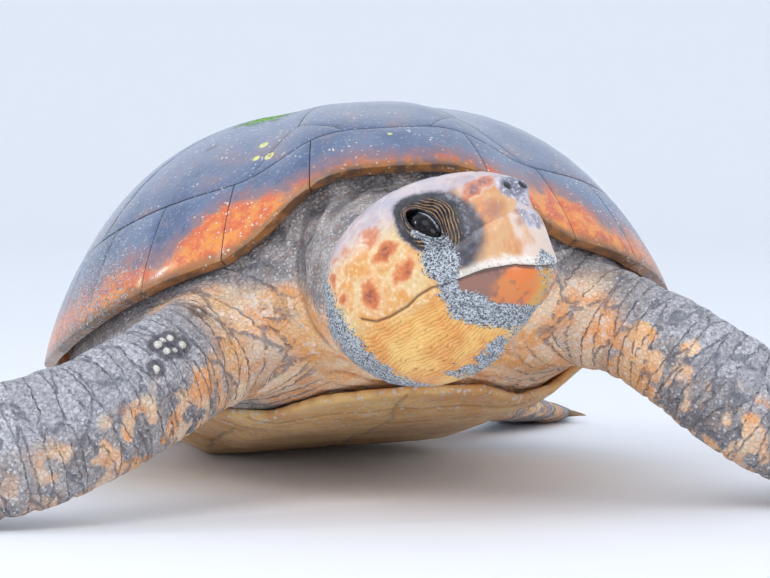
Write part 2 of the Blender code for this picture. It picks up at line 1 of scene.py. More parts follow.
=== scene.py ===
"""Dresses the loggerhead turtle: one skin, a shell of horn plates, the beak, eyes and claws."""

import math

import bmesh
import bpy
import numpy as np
from mathutils import Matrix, Vector


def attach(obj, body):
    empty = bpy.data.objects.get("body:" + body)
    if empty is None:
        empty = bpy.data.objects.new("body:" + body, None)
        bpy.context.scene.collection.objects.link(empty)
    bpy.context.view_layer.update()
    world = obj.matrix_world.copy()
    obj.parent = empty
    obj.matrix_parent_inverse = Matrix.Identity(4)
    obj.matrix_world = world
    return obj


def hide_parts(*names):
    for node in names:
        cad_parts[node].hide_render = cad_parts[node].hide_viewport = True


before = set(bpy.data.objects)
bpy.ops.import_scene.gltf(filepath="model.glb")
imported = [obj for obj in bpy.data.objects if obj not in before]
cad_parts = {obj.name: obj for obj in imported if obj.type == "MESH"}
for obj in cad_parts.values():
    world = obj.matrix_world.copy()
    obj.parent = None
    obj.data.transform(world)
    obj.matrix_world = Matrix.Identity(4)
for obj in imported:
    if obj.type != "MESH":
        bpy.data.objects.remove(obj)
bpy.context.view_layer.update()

# ---------------------------------------------------------------- sizes

MIDDLE = Vector((0.0049327, -0.0399996, 0.0))  # from the body's own middle to the origin

SHELL_HALF_WIDTH = 0.38
SHELL_FRONT = 0.40
SHELL_REAR = 0.55
SHELL_TOP = 0.392
SHELL_FALL = 0.90
SHELL_SQUARENESS = 2.8
RIM_SIDE = 0.118
RIM_TAIL = 0.100
RIM_SHOULDER = 0.075
RIM_ARCH = 0.082
RIM_ARCH_WIDTH = 0.15
HORN = 0.014  # thickness of a plate
PLATE_CELL = 0.008
PLATE_MARGIN = 0.0004  # half of the gap between two plates
PLATE_BEVEL = 0.0007
PLATE_RELIEF = 0.0008  # rise of a plate's middle over its seams
SEAM_DIP = 0.0004
RIM_FALL = 0.005  # how far the lip of a rim plate turns down
RIM_FALL_WIDTH = 0.012
BAND_BLUR = 0.16  # share of the shell over which the orange band fades
VERTEBRAL_CORNER = 0.092
VERTEBRAL_SEAM = 0.058
VERTEBRAL_SEAMS = (-0.205, -0.035, 0.135, 0.295)
FIRST_CORNER = -0.285
MARGINAL_RING = 0.86
MARGINALS = 12
NUCHAL_SHARE = 0.075
NUCHAL_CORNER = 0.042
COSTAL_SHARES = (0.135, 0.345, 0.565, 0.765, 0.93)

PLASTRON_FRONT = 0.33
PLASTRON_REAR = 0.40
PLASTRON_HALF_WIDTH = 0.19
PLASTRON_THICKNESS = 0.012
BRIDGE_REACH = 0.15
BRIDGE_HALF_LENGTH = 0.17
BRIDGE_RISE = 0.098

# Share of the way to the rim, rise up the flank (None inside the dome), swell ahead.
TRUNK_LEVELS = (
    (0.30, 0.0, 0.0),
    (0.60, 0.02, 0.03),
    (0.77, 0.11, 0.16),
    (0.85, 0.30, 0.20),
    (0.90, 0.60, 0.13),
    (0.92, 0.90, 0.05),
    (0.90, None, 0.0),
    (0.70, None, 0.0),
    (0.40, None, 0.0),
)
CHEST_SPREAD = 1.1
RIM_TUCK = 0.020

BODY = (
    Matrix.Translation(MIDDLE + Vector((0, 0, 0.047)))
    @ Matrix.Rotation(math.radians(-3), 4, "Y")
    @ Matrix.Rotation(math.radians(-9.5), 4, "X")
)
HEAD = (
    Matrix.Translation(MIDDLE + Vector((0.075, -0.665, 0.285)))
    @ Matrix.Rotation(math.radians(40), 4, "Z")
    @ Matrix.Rotation(math.radians(-22), 4, "X")
)

# Back from the beak, half width, crown, throat, widest level.
HEAD_STATIONS = (
    (0.002, 0.019, 0.074, -0.014, 0.020),
    (0.014, 0.036, 0.102, -0.028, 0.022),
    (0.040, 0.053, 0.120, -0.042, 0.028),
    (0.075, 0.071, 0.133, -0.064, 0.034),
    (0.115, 0.087, 0.142, -0.078, 0.036),
    (0.160, 0.099, 0.144, -0.081, 0.036),
    (0.205, 0.097, 0.130, -0.072, 0.034),
    (0.240, 0.080, 0.106, -0.050, 0.030),
    (0.260, 0.050, 0.072, -0.022, 0.026),
)
HEAD_MIDDLE = (0, 0.13, 0.03)
HEAD_REACH = (0.125, 0.145, 0.135)
HEAD_END = 0.262
MOUTH = ((0.0, -0.004), (0.018, 0.006), (0.045, 0.011), (0.088, 0.010))
EYE_AT = Vector((0.0490, 0.0945, 0.0710))
EYE_RADIUS = 0.021
EYE_STRETCH = 1.24  # the ball is a little longer along its opening
EYE_BULGE = 0.0012
LID_GAP = 0.0012  # between the ball and the skin over it
LID_ROLL = 0.0034  # width of one wrinkle
LID_ROLL_HEIGHT = 0.0011
LID_BROW = 0.0060  # height of the swelling ahead of the eye and above it
LID_RIM = 0.0024
EYE_OPENING = (0.0245, 0.0105, 0.0098)  # half length, half height above and below
EYE_OUT = Vector((0.87, -0.38, 0.31)).normalized()
EYE_TILT = math.radians(46)
ALMOND = 1.75  # 2 would make the opening an oval, 1 a diamond

# Point, half chord, half thickness, direction of the leading edge.
FORE_RIGHT = (
    ((-0.12, -0.21, 0.200), 0.085, 0.060, (0, -0.4, -1)),
    ((-0.21, -0.30, 0.188), 0.080, 0.062, (0, -0.4, -1)),
    ((-0.30, -0.38, 0.140), 0.072, 0.054, (0, -0.4, -1)),
    ((-0.38, -0.43, 0.103), 0.077, 0.044, (-0.05, -0.35, -1)),
    ((-0.46, -0.45, 0.082), 0.086, 0.035, (-0.1, -0.35, -1)),
    ((-0.53, -0.42, 0.060), 0.088, 0.028, (-0.3, -0.5, -0.75)),
    ((-0.60, -0.35, 0.036), 0.082, 0.021, (-0.6, -0.55, -0.4)),
    ((-0.65, -0.26, 0.018), 0.066, 0.016, (-0.8, -0.4, -0.15)),
    ((-0.68, -0.17, 0.009), 0.044, 0.012, (-0.9, -0.3, -0.05)),
    ((-0.69, -0.11, 0.006), 0.020, 0.009, (-0.95, -0.2, 0)),
)
FORE_LEFT = (
    ((0.12, -0.21, 0.225), 0.080, 0.060, (0, -0.4, -1)),
    ((0.22, -0.30, 0.216), 0.072, 0.062, (0, -0.4, -1)),
    ((0.29, -0.36, 0.178), 0.068, 0.056, (-0.3, -0.4, -0.9)),
    ((0.355, -0.40, 0.122), 0.079, 0.046, (-0.4, -0.35, -0.85)),
    ((0.43, -0.41, 0.080), 0.086, 0.036, (-0.2, -0.5, -0.8)),
    ((0.51, -0.37, 0.053), 0.088, 0.028, (0.25, -0.65, -0.6)),
    ((0.585, -0.29, 0.031), 0.082, 0.021, (0.6, -0.6, -0.3)),
    ((0.64, -0.19, 0.016), 0.066, 0.016, (0.85, -0.4, -0.1)),
    ((0.67, -0.10, 0.009), 0.044, 0.012, (0.95, -0.25, -0.05)),
    ((0.68, -0.04, 0.006), 0.020, 0.009, (0.98, -0.15, 0)),
)
HIND = (
    ((0.16, 0.34, 0.072), 0.060, 0.042, (0.6, -0.6, 0.1)),
    ((0.24, 0.44, 0.052), 0.062, 0.036, (0.7, -0.6, 0.1)),
    ((0.31, 0.53, 0.030), 0.070, 0.026, (0.8, -0.6, 0)),
    ((0.36, 0.62, 0.014), 0.084, 0.019, (0.9, -0.5, 0)),
    ((0.39, 0.70, 0.008), 0.067, 0.013, (0.95, -0.3, 0)),
    ((0.40, 0.755, 0.006), 0.030, 0.009, (1, -0.1, 0)),
)
TAIL = (
    ((0, 0.36, 0.060), 0.055, 0.042, (1, 0, 0)),
    ((0, 0.44, 0.048), 0.042, 0.034, (1, 0, 0)),
    ((0, 0.51, 0.036), 0.027, 0.024, (1, 0, 0)),
    ((0, 0.565, 0.026), 0.014, 0.013, (1, 0, 0)),
    ((0, 0.59, 0.022), 0.006, 0.006, (1, 0, 0)),
)
# Where limbs, neck and tail run softly into the trunk: place and radius.
SOFT_JOINTS = (
    (-0.215, -0.30, 0.185, 0.10), (0.225, -0.30, 0.215, 0.10), (-0.13, -0.36, 0.20, 0.11),
    (0.13, -0.36, 0.21, 0.11), (0.0, -0.38, 0.17, 0.14), (-0.20, 0.38, 0.07, 0.08),
    (0.20, 0.38, 0.07, 0.08), (0.0, 0.40, 0.06, 0.08),
)
SKIN_CELL = 0.0050
SKIN_TRIANGLES = 194000
BEAK_CELL = 0.0013
UPPER_STAND = 0.0018  # how proud each cutting edge stands
LOWER_STAND = 0.0004
PLASTRON_CELL = 0.0034
FORE_CLAW = 0.007
HIND_CLAW = 0.005
# Seams across the belly plate: place on the middle line, slope, both sides alike.
PLASTRON_SEAMS = ((-0.27, 0.25), (-0.17, -0.1), (-0.05, 0.05), (0.09, 0.08), (0.22, 0.12))
BRIDGE_SEAM = ((0.165, -0.14), (0.17, 0.0), (0.165, 0.18))

# Cheek scales, one side: back from the beak, height.
CHEEK_SCALES = (
    (0.152, 0.096), (0.189, 0.092), (0.131, 0.062), (0.112, 0.036), (0.161, 0.026),
    (0.206, 0.064), (0.195, 0.036), (0.165, 0.062), (0.137, 0.014), (0.215, 0.010),
    (0.185, 0.000), (0.095, 0.014), (0.128, 0.118), (0.178, 0.126),
)
# Crown scales, one side: out from the midline, back from the beak.
CROWN_SCALES = (
    (0.012, 0.030), (0.030, 0.047), (0.000, 0.076), (0.030, 0.082), (0.014, 0.116),
    (0.046, 0.118), (0.022, 0.162), (0.058, 0.160), (0.016, 0.207), (0.050, 0.205),
)
# Reddish marks on the cheek: back, height, half length, half width, tilt in degrees.
CHEEK_MARKS = (
    (0.153, 0.093, 0.021, 0.0135, 40), (0.189, 0.092, 0.019, 0.0085, 55),
    (0.131, 0.062, 0.016, 0.0085, -20), (0.112, 0.038, 0.019, 0.0080, -24),
    (0.160, 0.025, 0.017, 0.0110, 85), (0.204, 0.083, 0.009, 0.006, 60),
    (0.205, 0.060, 0.010, 0.007, 20), (0.194, 0.036, 0.008, 0.006, 0),
    (0.136, 0.111, 0.014, 0.004, 15), (0.137, -0.022, 0.004, 0.003, 0),
)
# Marks on the brow and snout, left side: out from the midline, back, height, radius.
BROW_MARKS = ((0.041, 0.050, 0.087, 0.0075), (0.031, 0.041, 0.094, 0.0105),
              (0.021, 0.032, 0.099, 0.0095))
SNOUT_MARKS = ((0.031, 0.024, 0.068, 0.012), (0.018, 0.007, 0.046, 0.006),
               (0.016, 0.008, 0.058, 0.005))
NOSE_AT = (0, 0.018, 0.090)
NOSE_BULGE = (0.0180, 0.0150, 0.0895)
NOSE_PATCH = (0, 0.013, 0.088)
NOSE_STREAK = ((0.006, 0.080), (0.002, 0.062), (0.002, 0.044))
SMEAR = ((0.068, 0.086), (0.049, 0.070), (0.047, 0.050), (0.056, 0.026))
NOSTRIL = Vector((0.0120, 0.0150, 0.0865))
NOSTRIL_OUT = Vector((0.10, -0.90, 0.42)).normalized()
NOSTRIL_DEPTH = 0.0068
NOSTRIL_RIM = 0.0012
JAW_FOLD = ((0.078, 0.006), (0.095, 0.011), (0.112, 0.008), (0.126, 0.002), (0.149, -0.001),
            (0.166, 0.000), (0.182, 0.009))

# Where sand clings to the face: back, height, and how far it spreads.
FACE_SAND = (
    (0.095, 0.070, 0.0025), (0.086, 0.061, 0.006), (0.079, 0.053, 0.012),
    (0.077, 0.042, 0.016), (0.077, 0.030, 0.017), (0.079, 0.012, 0.012),
    (0.080, -0.004, 0.012), (0.074, -0.020, 0.019), (0.058, -0.036, 0.015),
    (0.040, -0.044, 0.010), (0.020, -0.044, 0.012), (0.002, -0.036, 0.016),
    (-0.006, -0.020, 0.015), (-0.008, -0.004, 0.012), (-0.006, 0.008, 0.009),
)
CHIN_SAND = ((-0.004, -0.040, 0.014), (0.022, -0.054, 0.012), (0.050, -0.060, 0.010),
             (0.090, -0.070, 0.012), (0.140, -0.080, 0.012))
# Pale crusts on the shell, place and radius, then the middles of a green tuft and a scrape.
CRUSTS = (((-0.145, -0.263, 0.401), 0.0065), ((-0.156, -0.283, 0.385), 0.0060),
          ((-0.144, -0.296, 0.390), 0.0065), ((-0.015, -0.341, 0.412), 0.0050))
MOSS = (-0.125, -0.140, 0.428)
SCRAPE = (-0.196, -0.194, 0.399)
# Orange patches on the left shoulder: place and radius.
ARM_PATCHES = ((0.213, -0.401, 0.196, 0.020), (0.234, -0.418, 0.188, 0.022),
               (0.256, -0.427, 0.192, 0.016), (0.247, -0.427, 0.172, 0.018),
               (0.266, -0.440, 0.159, 0.020), (0.200, -0.387, 0.179, 0.022),
               (0.303, -0.452, 0.176, 0.012), (0.290, -0.455, 0.150, 0.016),
               (0.178, -0.380, 0.165, 0.026))
# Pale low bumps on the right shoulder: place and radius. The mesh is finer near the first.
PEARLS = ((-0.287, -0.441, 0.188, 0.007), (-0.273, -0.431, 0.195, 0.006),
          (-0.259, -0.433, 0.188, 0.007), (-0.278, -0.445, 0.182, 0.006),
          (-0.268, -0.440, 0.183, 0.005), (-0.281, -0.435, 0.193, 0.006),
          (-0.239, -0.395, 0.223, 0.005), (-0.291, -0.459, 0.164, 0.006))

CAMERA_AT = MIDDLE + Vector((-0.615, -3.484, 0.397))
CAMERA_TURN = math.radians(-10.5)
CAMERA_RISE = math.radians(2.75)
CAMERA_LENS = 134.8831  # millimetres, on a sensor 36 wide
FLOOR_RADIUS = 9
FLOOR_SWEEP = 3
FLOOR_ARC_STEPS = 16
FLOOR_STEPS = 20  # the rest go straight up
# Name, place, width, height, power in watts.
LIGHTS = (
    ("key", (-1.9, -2.4, 3.0), 2.2, 2.2, 28),
    ("fill", (2.6, -2.2, 2.2), 2.4, 2.4, 12),
    ("low", (-1.0, -7.6, 1.4), 2.9, 2.9, 68),
    ("catch", (-2.2, 0.0, 1.4), 0.14, 0.38, 6),
)
LIGHTS_AIM = Vector((0, 0, 0.2))


# ---------------------------------------------------------------- small helpers


def deselect():
    bpy.ops.object.select_all(action="DESELECT")


def alone(obj):
    """Makes a piece the only one selected, and active."""
    deselect()
    obj.select_set(True)
    bpy.context.view_layer.objects.active = obj


def finished(obj, kind, **settings):
    """Adds a modifier and applies it."""
    alone(obj)
    modifier = obj.modifiers.new("Step", kind)
    for name, value in settings.items():
        setattr(modifier, name, value)
    if kind == "SUBSURF":
        modifier.render_levels = modifier.levels
    bpy.ops.object.modifier_apply(modifier=modifier.name)


def smooth_shaded(obj):
    alone(obj)
    bpy.ops.object.shade_smooth()


def vectors(items, key):
    """The vector that each vertex or face of a mesh keeps under a key, one in a row."""
    flat = np.empty(len(items) * 3, dtype=np.float32)
    items.foreach_get(key, flat)
    return flat.reshape(-1, 3).astype(float)


def points_of(obj):
    return vectors(obj.data.vertices, "co")


def normals_of(obj):
    return vectors(obj.data.vertex_normals, "vector")


def face_middles(obj):
    return vectors(obj.data.polygons, "center")


def move_points(obj, points):
    obj.data.vertices.foreach_set("co", points.astype(np.float32).ravel())
    obj.data.update()


def store(obj, name, values, share=True):
    """Keeps one number for each point, a share from 0 to 1 or a measure, for the materials."""
    layer = obj.data.attributes.new(name, "FLOAT", "POINT")
    layer.data.foreach_set("value", (np.clip(values, 0, 1) if share else values).astype(np.float32))


def placed(matrix, points):
    m = np.array(matrix)
    return points @ m[:3, :3].T + m[:3, 3]


def turned(matrix, directions):
    return directions @ np.array(matrix)[:3, :3].T


def step(low, high, value):
    """0 at one end, 1 at the other and smooth between; the low end may be the greater."""
    share = np.clip((value - low) / (high - low), 0, 1)
    return share * share * (3 - 2 * share)


def hump(away, width):
    """1 where a distance is 0, falling smoothly on both sides."""
    return np.exp(-((away / width) ** 2))


def distance(points, place):
    return np.linalg.norm(points - np.array(place), axis=1)


def folded(points):
    """Both sides of the body laid over the one where x is positive."""
    return np.column_stack([np.abs(points[:, 0]), points[:, 1:]])


def bumps(points, size, seed=0):
    """Soft random heights between 0 and 1 over cells of a size, the same on every run."""
    scaled = points / size
    cell = np.floor(scaled).astype(np.int64)
    part = scaled - cell
    part = part * part * (3 - 2 * part)
    total = np.zeros(len(points))
    for corner in range(8):
        offset = np.array([corner & 1, corner >> 1 & 1, corner >> 2 & 1])
        key = (cell + offset) * np.array([73856093, 19349663, 83492791])
        mixed = (key[:, 0] ^ key[:, 1] ^ key[:, 2]) + seed * 2654435761
        mixed = (mixed ^ (mixed >> 13)) * 1274126177 & 0xFFFFFFFF
        height = ((mixed ^ (mixed >> 16)) & 0xFFFF) / 65535
        weight = np.prod(np.where(offset, part, 1 - part), axis=1)
        total += weight * height
    return total


def wandering(points, size, seed):
    """A random shift for each point, up to a half each way, in two directions."""
    return np.column_stack([bumps(points, size, seed + i) for i in (0, 1)]) - 0.5


def cuts(grain, large, small, seed, sharp):
    """Random thin lines, 1 in their middles; they run where the grain is stretched out."""
    ridge = np.abs(bumps(grain, large, seed) + 0.5 * bumps(grain, small, seed + 1) - 0.75) * 2
    return np.clip(1 - ridge * sharp, 0, 1)


def near_marks(points, marks):
    """1 in the middle of each round mark, and half of that at its radius."""
    near = np.zeros(len(points))
    for *place, radius in marks:
        near = np.maximum(near, np.clip(1 - 0.5 * distance(points, place) / radius, 0, 1))
    return near


def line_distance(flat, line):
    """Distance from each flat point to a line of points."""
    best = np.full(len(flat), 1e9)
    for a, b in zip(line, line[1:]):
        a, b = np.array(a), np.array(b)
        along = np.clip(((flat - a) @ (b - a)) / ((b - a) @ (b - a)), 0, 1)
        best = np.minimum(best, np.linalg.norm(flat - a - along[:, None] * (b - a), axis=1))
    return best


# ---------------------------------------------------------------- the shell's form


def soft_step(low, high, value):
    """The same as step, for one number."""
    share = min(1.0, max(0.0, (value - low) / (high - low)))
    return share * share * (3 - 2 * share)


def rim_radius(angle):
    """Plan distance from the shell's middle to its rim. The angle is 0 ahead and pi behind."""
    angle = abs(angle)
    reach, power = (SHELL_FRONT, 2.5) if angle < math.pi / 2 else (SHELL_REAR, 1.8)
    wide = abs(math.sin(angle) / SHELL_HALF_WIDTH) ** power
    long = abs(math.cos(angle) / reach) ** power
    return (wide + long) ** (-1 / power)


def plan_point(angle, share=1.0):
    radius = rim_radius(angle) * share
    return Vector((radius * math.sin(angle), -radius * math.cos(angle)))


def rim_height(angle):
    if abs(angle) < math.pi / 2:
        across = abs(plan_point(angle).x)
        shoulder = 1 - (across / SHELL_HALF_WIDTH) ** 3.2
        arch = math.exp(-((across / RIM_ARCH_WIDTH) ** 4))
        return RIM_SIDE + RIM_SHOULDER * shoulder + RIM_ARCH * arch
    back = abs(angle) / (math.pi / 2) - 1
    lift = 0.016 * math.sin(math.pi * back) ** 2
    return RIM_SIDE + (RIM_TAIL - RIM_SIDE) * back + lift


def shell_height(x, y):
    angle = math.atan2(x, -y)
    out = math.hypot(x, y) / rim_radius(angle)
    foot = math.sqrt(1 - SHELL_FALL**SHELL_SQUARENESS)
    arc = math.sqrt(max(0.0, 1 - (SHELL_FALL * out) ** SHELL_SQUARENESS))
    dome = (arc - foot) / (1 - foot)
    rim = rim_height(angle)
    return rim + (SHELL_TOP - rim) * dome


def rim_angle_finder():
    """A function giving the angle at a share of the rim's half length from the nuchal plate."""
    steps = 400
    angles = [math.pi * i / steps for i in range(steps + 1)]
    lengths = [0.0]
    for near, far in zip(angles, angles[1:]):
        lengths.append(lengths[-1] + (plan_point(far) - plan_point(near)).length)

    def angle_at(share):
        side = -1 if share < 0 else 1
        wanted = abs(share) * lengths[-1]
        i = next(i for i in range(1, steps + 1) if lengths[i] >= wanted - 1e-9)
        part = (wanted - lengths[i - 1]) / (lengths[i] - lengths[i - 1])
        return side * (angles[i - 1] + part * (angles[i] - angles[i - 1]))

    return angle_at


ANGLE_AT = rim_angle_finder()


def ring_arc(start, end, share=MARGINAL_RING, count=12):
    """Points along the shell's plan between two shares of the rim's half length."""
    shares = [start + (end - start) * i / count for i in range(count + 1)]
    return [plan_point(ANGLE_AT(s) if s <= 1 else 2 * math.pi - ANGLE_AT(2 - s), share)
            for s in shares]


def mirrored(line):
    return [Vector((-p[0], p[1])) for p in line]


def line_length(line):
    return sum((b - a).length for a, b in zip(line, line[1:]))


def plate_sides():
    """For every plate: its inner or front side, its right side, its outer or rear side, its left.

    Each side is a line of plan points. The first and third run from right to left, the others
    from front or inside to rear or outside.
    """
    marginal = [NUCHAL_SHARE + (1 - NUCHAL_SHARE) * i / MARGINALS for i in range(MARGINALS + 1)]
    seams = [Vector((VERTEBRAL_SEAM, y)) for y in VERTEBRAL_SEAMS]
    middles = [(a + b) / 2 for a, b in zip(VERTEBRAL_SEAMS, VERTEBRAL_SEAMS[1:])]
    corners = [Vector((VERTEBRAL_CORNER, y)) for y in (FIRST_CORNER, *middles)]
    found = {}

    def across(left_side, front, rear):
        return front, mirrored(left_side), rear, left_side

    def pair(point):
        return [*mirrored([point]), point]

    def outward(inner, outer):
        return inner, [inner[0], outer[0]], outer, [inner[-1], outer[-1]]

    front = ring_arc(-NUCHAL_SHARE, NUCHAL_SHARE)
    rim = ring_arc(-NUCHAL_SHARE, NUCHAL_SHARE, 1.0)
    found["nuchal"] = across([front[-1], rim[-1]], front, rim)
    front = ring_arc(-NUCHAL_CORNER, NUCHAL_CORNER)
    side = [front[-1], corners[0], seams[0]]
    found["vertebral_1"] = across(side, front, pair(seams[0]))
    for i in range(1, 4):
        side = [seams[i - 1], corners[i], seams[i]]
        found[f"vertebral_{i + 1}"] = across(side, pair(side[0]), pair(side[2]))
    rear = mirrored(ring_arc(COSTAL_SHARES[4], 1.0)) + ring_arc(COSTAL_SHARES[4], 1.0)[-2::-1]
    found["vertebral_5"] = across([seams[3], rear[-1]], pair(seams[3]), rear)
    inners = [[corners[0]] * 2, *([corners[i], seams[i], corners[i + 1]] for i in range(3)),
              [corners[3], seams[3]]]
    ends = (NUCHAL_CORNER, *COSTAL_SHARES)
    rows = {
        "costal": [outward(inner, ring_arc(near, far))
                   for inner, near, far in zip(inners, ends, ends[1:])],
        "marginal": [outward(ring_arc(near, far), ring_arc(near, far, 1.0))
                     for near, far in zip(marginal, marginal[1:])],
    }
    for row, plates in rows.items():
        for i, sides in enumerate(plates, 1):
            number = f"{i:02d}" if row == "marginal" else str(i)
            found[f"{row}_left_{number}"] = sides
            found[f"{row}_right_{number}"] = tuple(mirrored(line) for line in sides)
    return found


def along_line(line, share):
    """The point at a share of a line's length."""
    wanted = share * line_length(line)
    for a, b in zip(line, line[1:]):
        length = (b - a).length
        if wanted <= length or b is line[-1]:
            return a.lerp(b, min(1.0, wanted / length) if length > 1e-9 else 0.0)
        wanted -= length


def patch_point(sides, u, v):
    """A point of the patch that four side lines span."""
    first, near, last, far = sides
    a, b = along_line(first, u), along_line(last, u)
    c, d = along_line(near, v), along_line(far, v)
    corners = (
        (1 - u) * (1 - v) * first[0] + u * (1 - v) * first[-1]
        + (1 - u) * v * last[0] + u * v * last[-1]
    )
    return (1 - v) * a + v * b + (1 - u) * c + u * d - corners


def band_width(turn):
    """Share of the shell that the orange band takes up, narrow over the neck."""
    away = abs(turn)
    shoulder = 0.075 * math.exp(-(((away - 0.50) / 0.15) ** 2))
    return 0.012 + shoulder + 0.030 * soft_step(0.6, 0.9, away)


def make_plate(name, sides, paint):
    """One horn plate: a grid drawn over its plan, lifted to the dome, thickened and rounded."""
    marginal = name.startswith(("marginal", "nuchal"))
    long, deep = line_length(sides[2]), line_length(sides[1])
    columns, rows = (max(8, round(length / PLATE_CELL)) for length in (long, deep))
    deselect()
    bpy.ops.mesh.primitive_grid_add(x_subdivisions=columns, y_subdivisions=rows, size=2)
    plate = bpy.context.object
    plate.name = plate.data.name = name + "_shield"
    edge, rim, band = [], [], []
    for vert in plate.data.vertices:
        u, v = (vert.co.x + 1) / 2, (vert.co.y + 1) / 2
        u = PLATE_MARGIN / long + u * (1 - 2 * PLATE_MARGIN / long)
        v = PLATE_MARGIN / deep + v * (1 - 2 * PLATE_MARGIN / deep)
        point = patch_point(sides, u, v)
        gap = min(u * long, (1 - u) * long, v * deep, deep if marginal else (1 - v) * deep)
        height = shell_height(point.x, point.y) + PLATE_RELIEF * soft_step(0, 0.02, gap)
        height -= SEAM_DIP * math.exp(-((gap / 0.003) ** 2))
        if marginal:
            height -= RIM_FALL * max(0.0, 1 - (1 - v) * deep / RIM_FALL_WIDTH) ** 2
        vert.co = BODY @ Vector((point.x, point.y, height))
        edge.append(gap / 0.05)
        turn = math.atan2(point.x, -point.y)
        out = point.length / rim_radius(turn)
        rim.append(out)
        band.append(0.5 + (out - 1 + band_width(turn)) / BAND_BLUR)
    for key, values in (("seam", edge), ("outward", rim), ("band", band)):
        store(plate, key, np.array(values))
    points = points_of(plate)
    flank = step(0.24, 0.36, np.abs(points[:, 0])) * step(0.05, -0.25, points[:, 1])
    store(plate, "sand", 0.30 * flank + 0.08)
    plate.data.update()
    alone(plate)
    bpy.ops.object.mode_set(mode="EDIT")
    bpy.ops.mesh.select_all(action="SELECT")
    bpy.ops.mesh.remove_doubles(threshold=0.00005)
    bpy.ops.object.mode_set(mode="OBJECT")
    if sum(face.normal.z * face.area for face in plate.data.polygons) < 0:
        plate.data.flip_normals()
    finished(plate, "SOLIDIFY", thickness=HORN, offset=-1, use_even_offset=False)
    finished(plate, "BEVEL", width=PLATE_BEVEL, segments=2, limit_method="ANGLE",
             angle_limit=math.radians(55), harden_normals=False)
    bpy.ops.object.shade_smooth_by_angle(angle=math.radians(50))
    paint.on(plate)
    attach(plate, "root")
    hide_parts(name)


# ---------------------------------------------------------------- flesh forms


def signed_power(value, power):
    return math.copysign(abs(value) ** power, value)


def plastron_reach(angle):
    length = PLASTRON_FRONT if abs(angle) < math.pi / 2 else PLASTRON_REAR
    wide = abs(math.sin(angle) / PLASTRON_HALF_WIDTH) ** 2.6
    long = abs(math.cos(angle) / length) ** 2.6
    reach = (wide + long) ** (-1 / 2.6)
    along = reach * math.cos(angle)
    side = abs(math.sin(angle)) ** 0.5
    return reach + BRIDGE_REACH * side * math.exp(-((along / BRIDGE_HALF_LENGTH) ** 4))


def plastron_underside(x, y):
    bridge = soft_step(PLASTRON_HALF_WIDTH * 0.75, PLASTRON_HALF_WIDTH + BRIDGE_REACH, abs(x))
    front = soft_step(PLASTRON_FRONT * 0.55, PLASTRON_FRONT, -y)
    rear = soft_step(PLASTRON_REAR * 0.6, PLASTRON_REAR, y)
    return BRIDGE_RISE * bridge + 0.022 * front + 0.020 * rear


def trunk_ring(share, rise, swell, sides=48):
    ring = []
    for k in range(sides):
        angle = 2 * math.pi * (k + 0.5) / sides - math.pi
        ahead = math.exp(-((angle / CHEST_SPREAD) ** 4))
        plan = plan_point(angle, share) * (1 + swell * ahead)
        if rise is None:
            height = shell_height(plan.x, plan.y) - HORN - 0.004
        else:
            floor = plastron_underside(plan.x, plan.y)
            if share <= 0.6:
                floor += PLASTRON_THICKNESS
            height = floor + (rim_height(angle) - RIM_TUCK - floor) * rise
        ring.append(BODY @ Vector((plan.x, plan.y, height)))
    return ring


def head_ring(back, half_width, crown, throat, level, sides=10):
    ring = []
    for k in range(sides):
        turn = 2 * math.pi * (k + 0.5) / sides
        rise = math.sin(turn)
        height = crown - level if rise > 0 else level - throat
        square = 0.92 - 0.14 * (1 - soft_step(0.01, 0.07, back))
        point = (
            half_width * signed_power(math.cos(turn), square),
            back,
            level + height * signed_power(rise, square + 0.03),
        )
        ring.append(HEAD @ Vector(point))
    return ring


def limb_rings(stations, sides):
    points = [Vector(station[0]) + MIDDLE for station in stations]
    rings = []
    for i, (_, chord, thickness, across) in enumerate(stations):
        along = (points[min(i + 1, len(points) - 1)] - points[max(i - 1, 0)]).normalized()
        side = Vector(across)
        side = (side - along * side.dot(along)).normalized()
        normal = along.cross(side)
        turns = [2 * math.pi * k / sides for k in range(sides)]
        rings.append([points[i] + side * chord * math.cos(t) + normal * thickness * math.sin(t)
                      for t in turns])
    return rings


def drawn_out(name, rings, levels):
    """A disc drawn out from ring to ring by extrusion, then subdivided."""
    deselect()
    bpy.ops.mesh.primitive_circle_add(vertices=len(rings[0]), radius=1, fill_type="NGON")
    form = bpy.context.object
    form.name = form.data.name = name
    for vert, point in zip(form.data.vertices, rings[0]):
        vert.co = point
    bpy.ops.object.mode_set(mode="EDIT")
    bpy.ops.mesh.select_all(action="SELECT")
    for near, far in zip(rings, rings[1:]):
        bpy.ops.mesh.extrude_region()
        mesh = bmesh.from_edit_mesh(form.data)
        for vert in [v for v in mesh.verts if v.select]:
            i = min(range(len(near)), key=lambda k: (near[k] - vert.co).length)
            vert.co = far[i]
        bmesh.update_edit_mesh(form.data)
    bpy.ops.mesh.select_all(action="SELECT")
    bpy.ops.mesh.normals_make_consistent(inside=False)
    bpy.ops.object.mode_set(mode="OBJECT")
    if levels:
        finished(form, "SUBSURF", levels=levels)
    return form


def neck_rings():
    back_of_head = HEAD @ Vector((0, 0.20, 0.02))
    chest = BODY @ Vector((0, -0.22, 0.185))
    middle = back_of_head.lerp(chest, 0.5) + Vector((-0.012, 0.0, 0.012))
    level = (1, 0.1, 0)
    stations = (
        (back_of_head - MIDDLE, 0.070, 0.075, level),
        (back_of_head.lerp(middle, 0.55) - MIDDLE, 0.093, 0.098, level),
        (middle - MIDDLE, 0.112, 0.112, level),
        (chest - MIDDLE, 0.145, 0.110, level),
    )
    return limb_rings(stations, 8)


def opposite(stations):
    """The same limb on the other side."""
    return tuple(
        ((-p[0], p[1], p[2]), chord, thick, (-lead[0], *lead[1:]))
        for p, chord, thick, lead in stations
    )


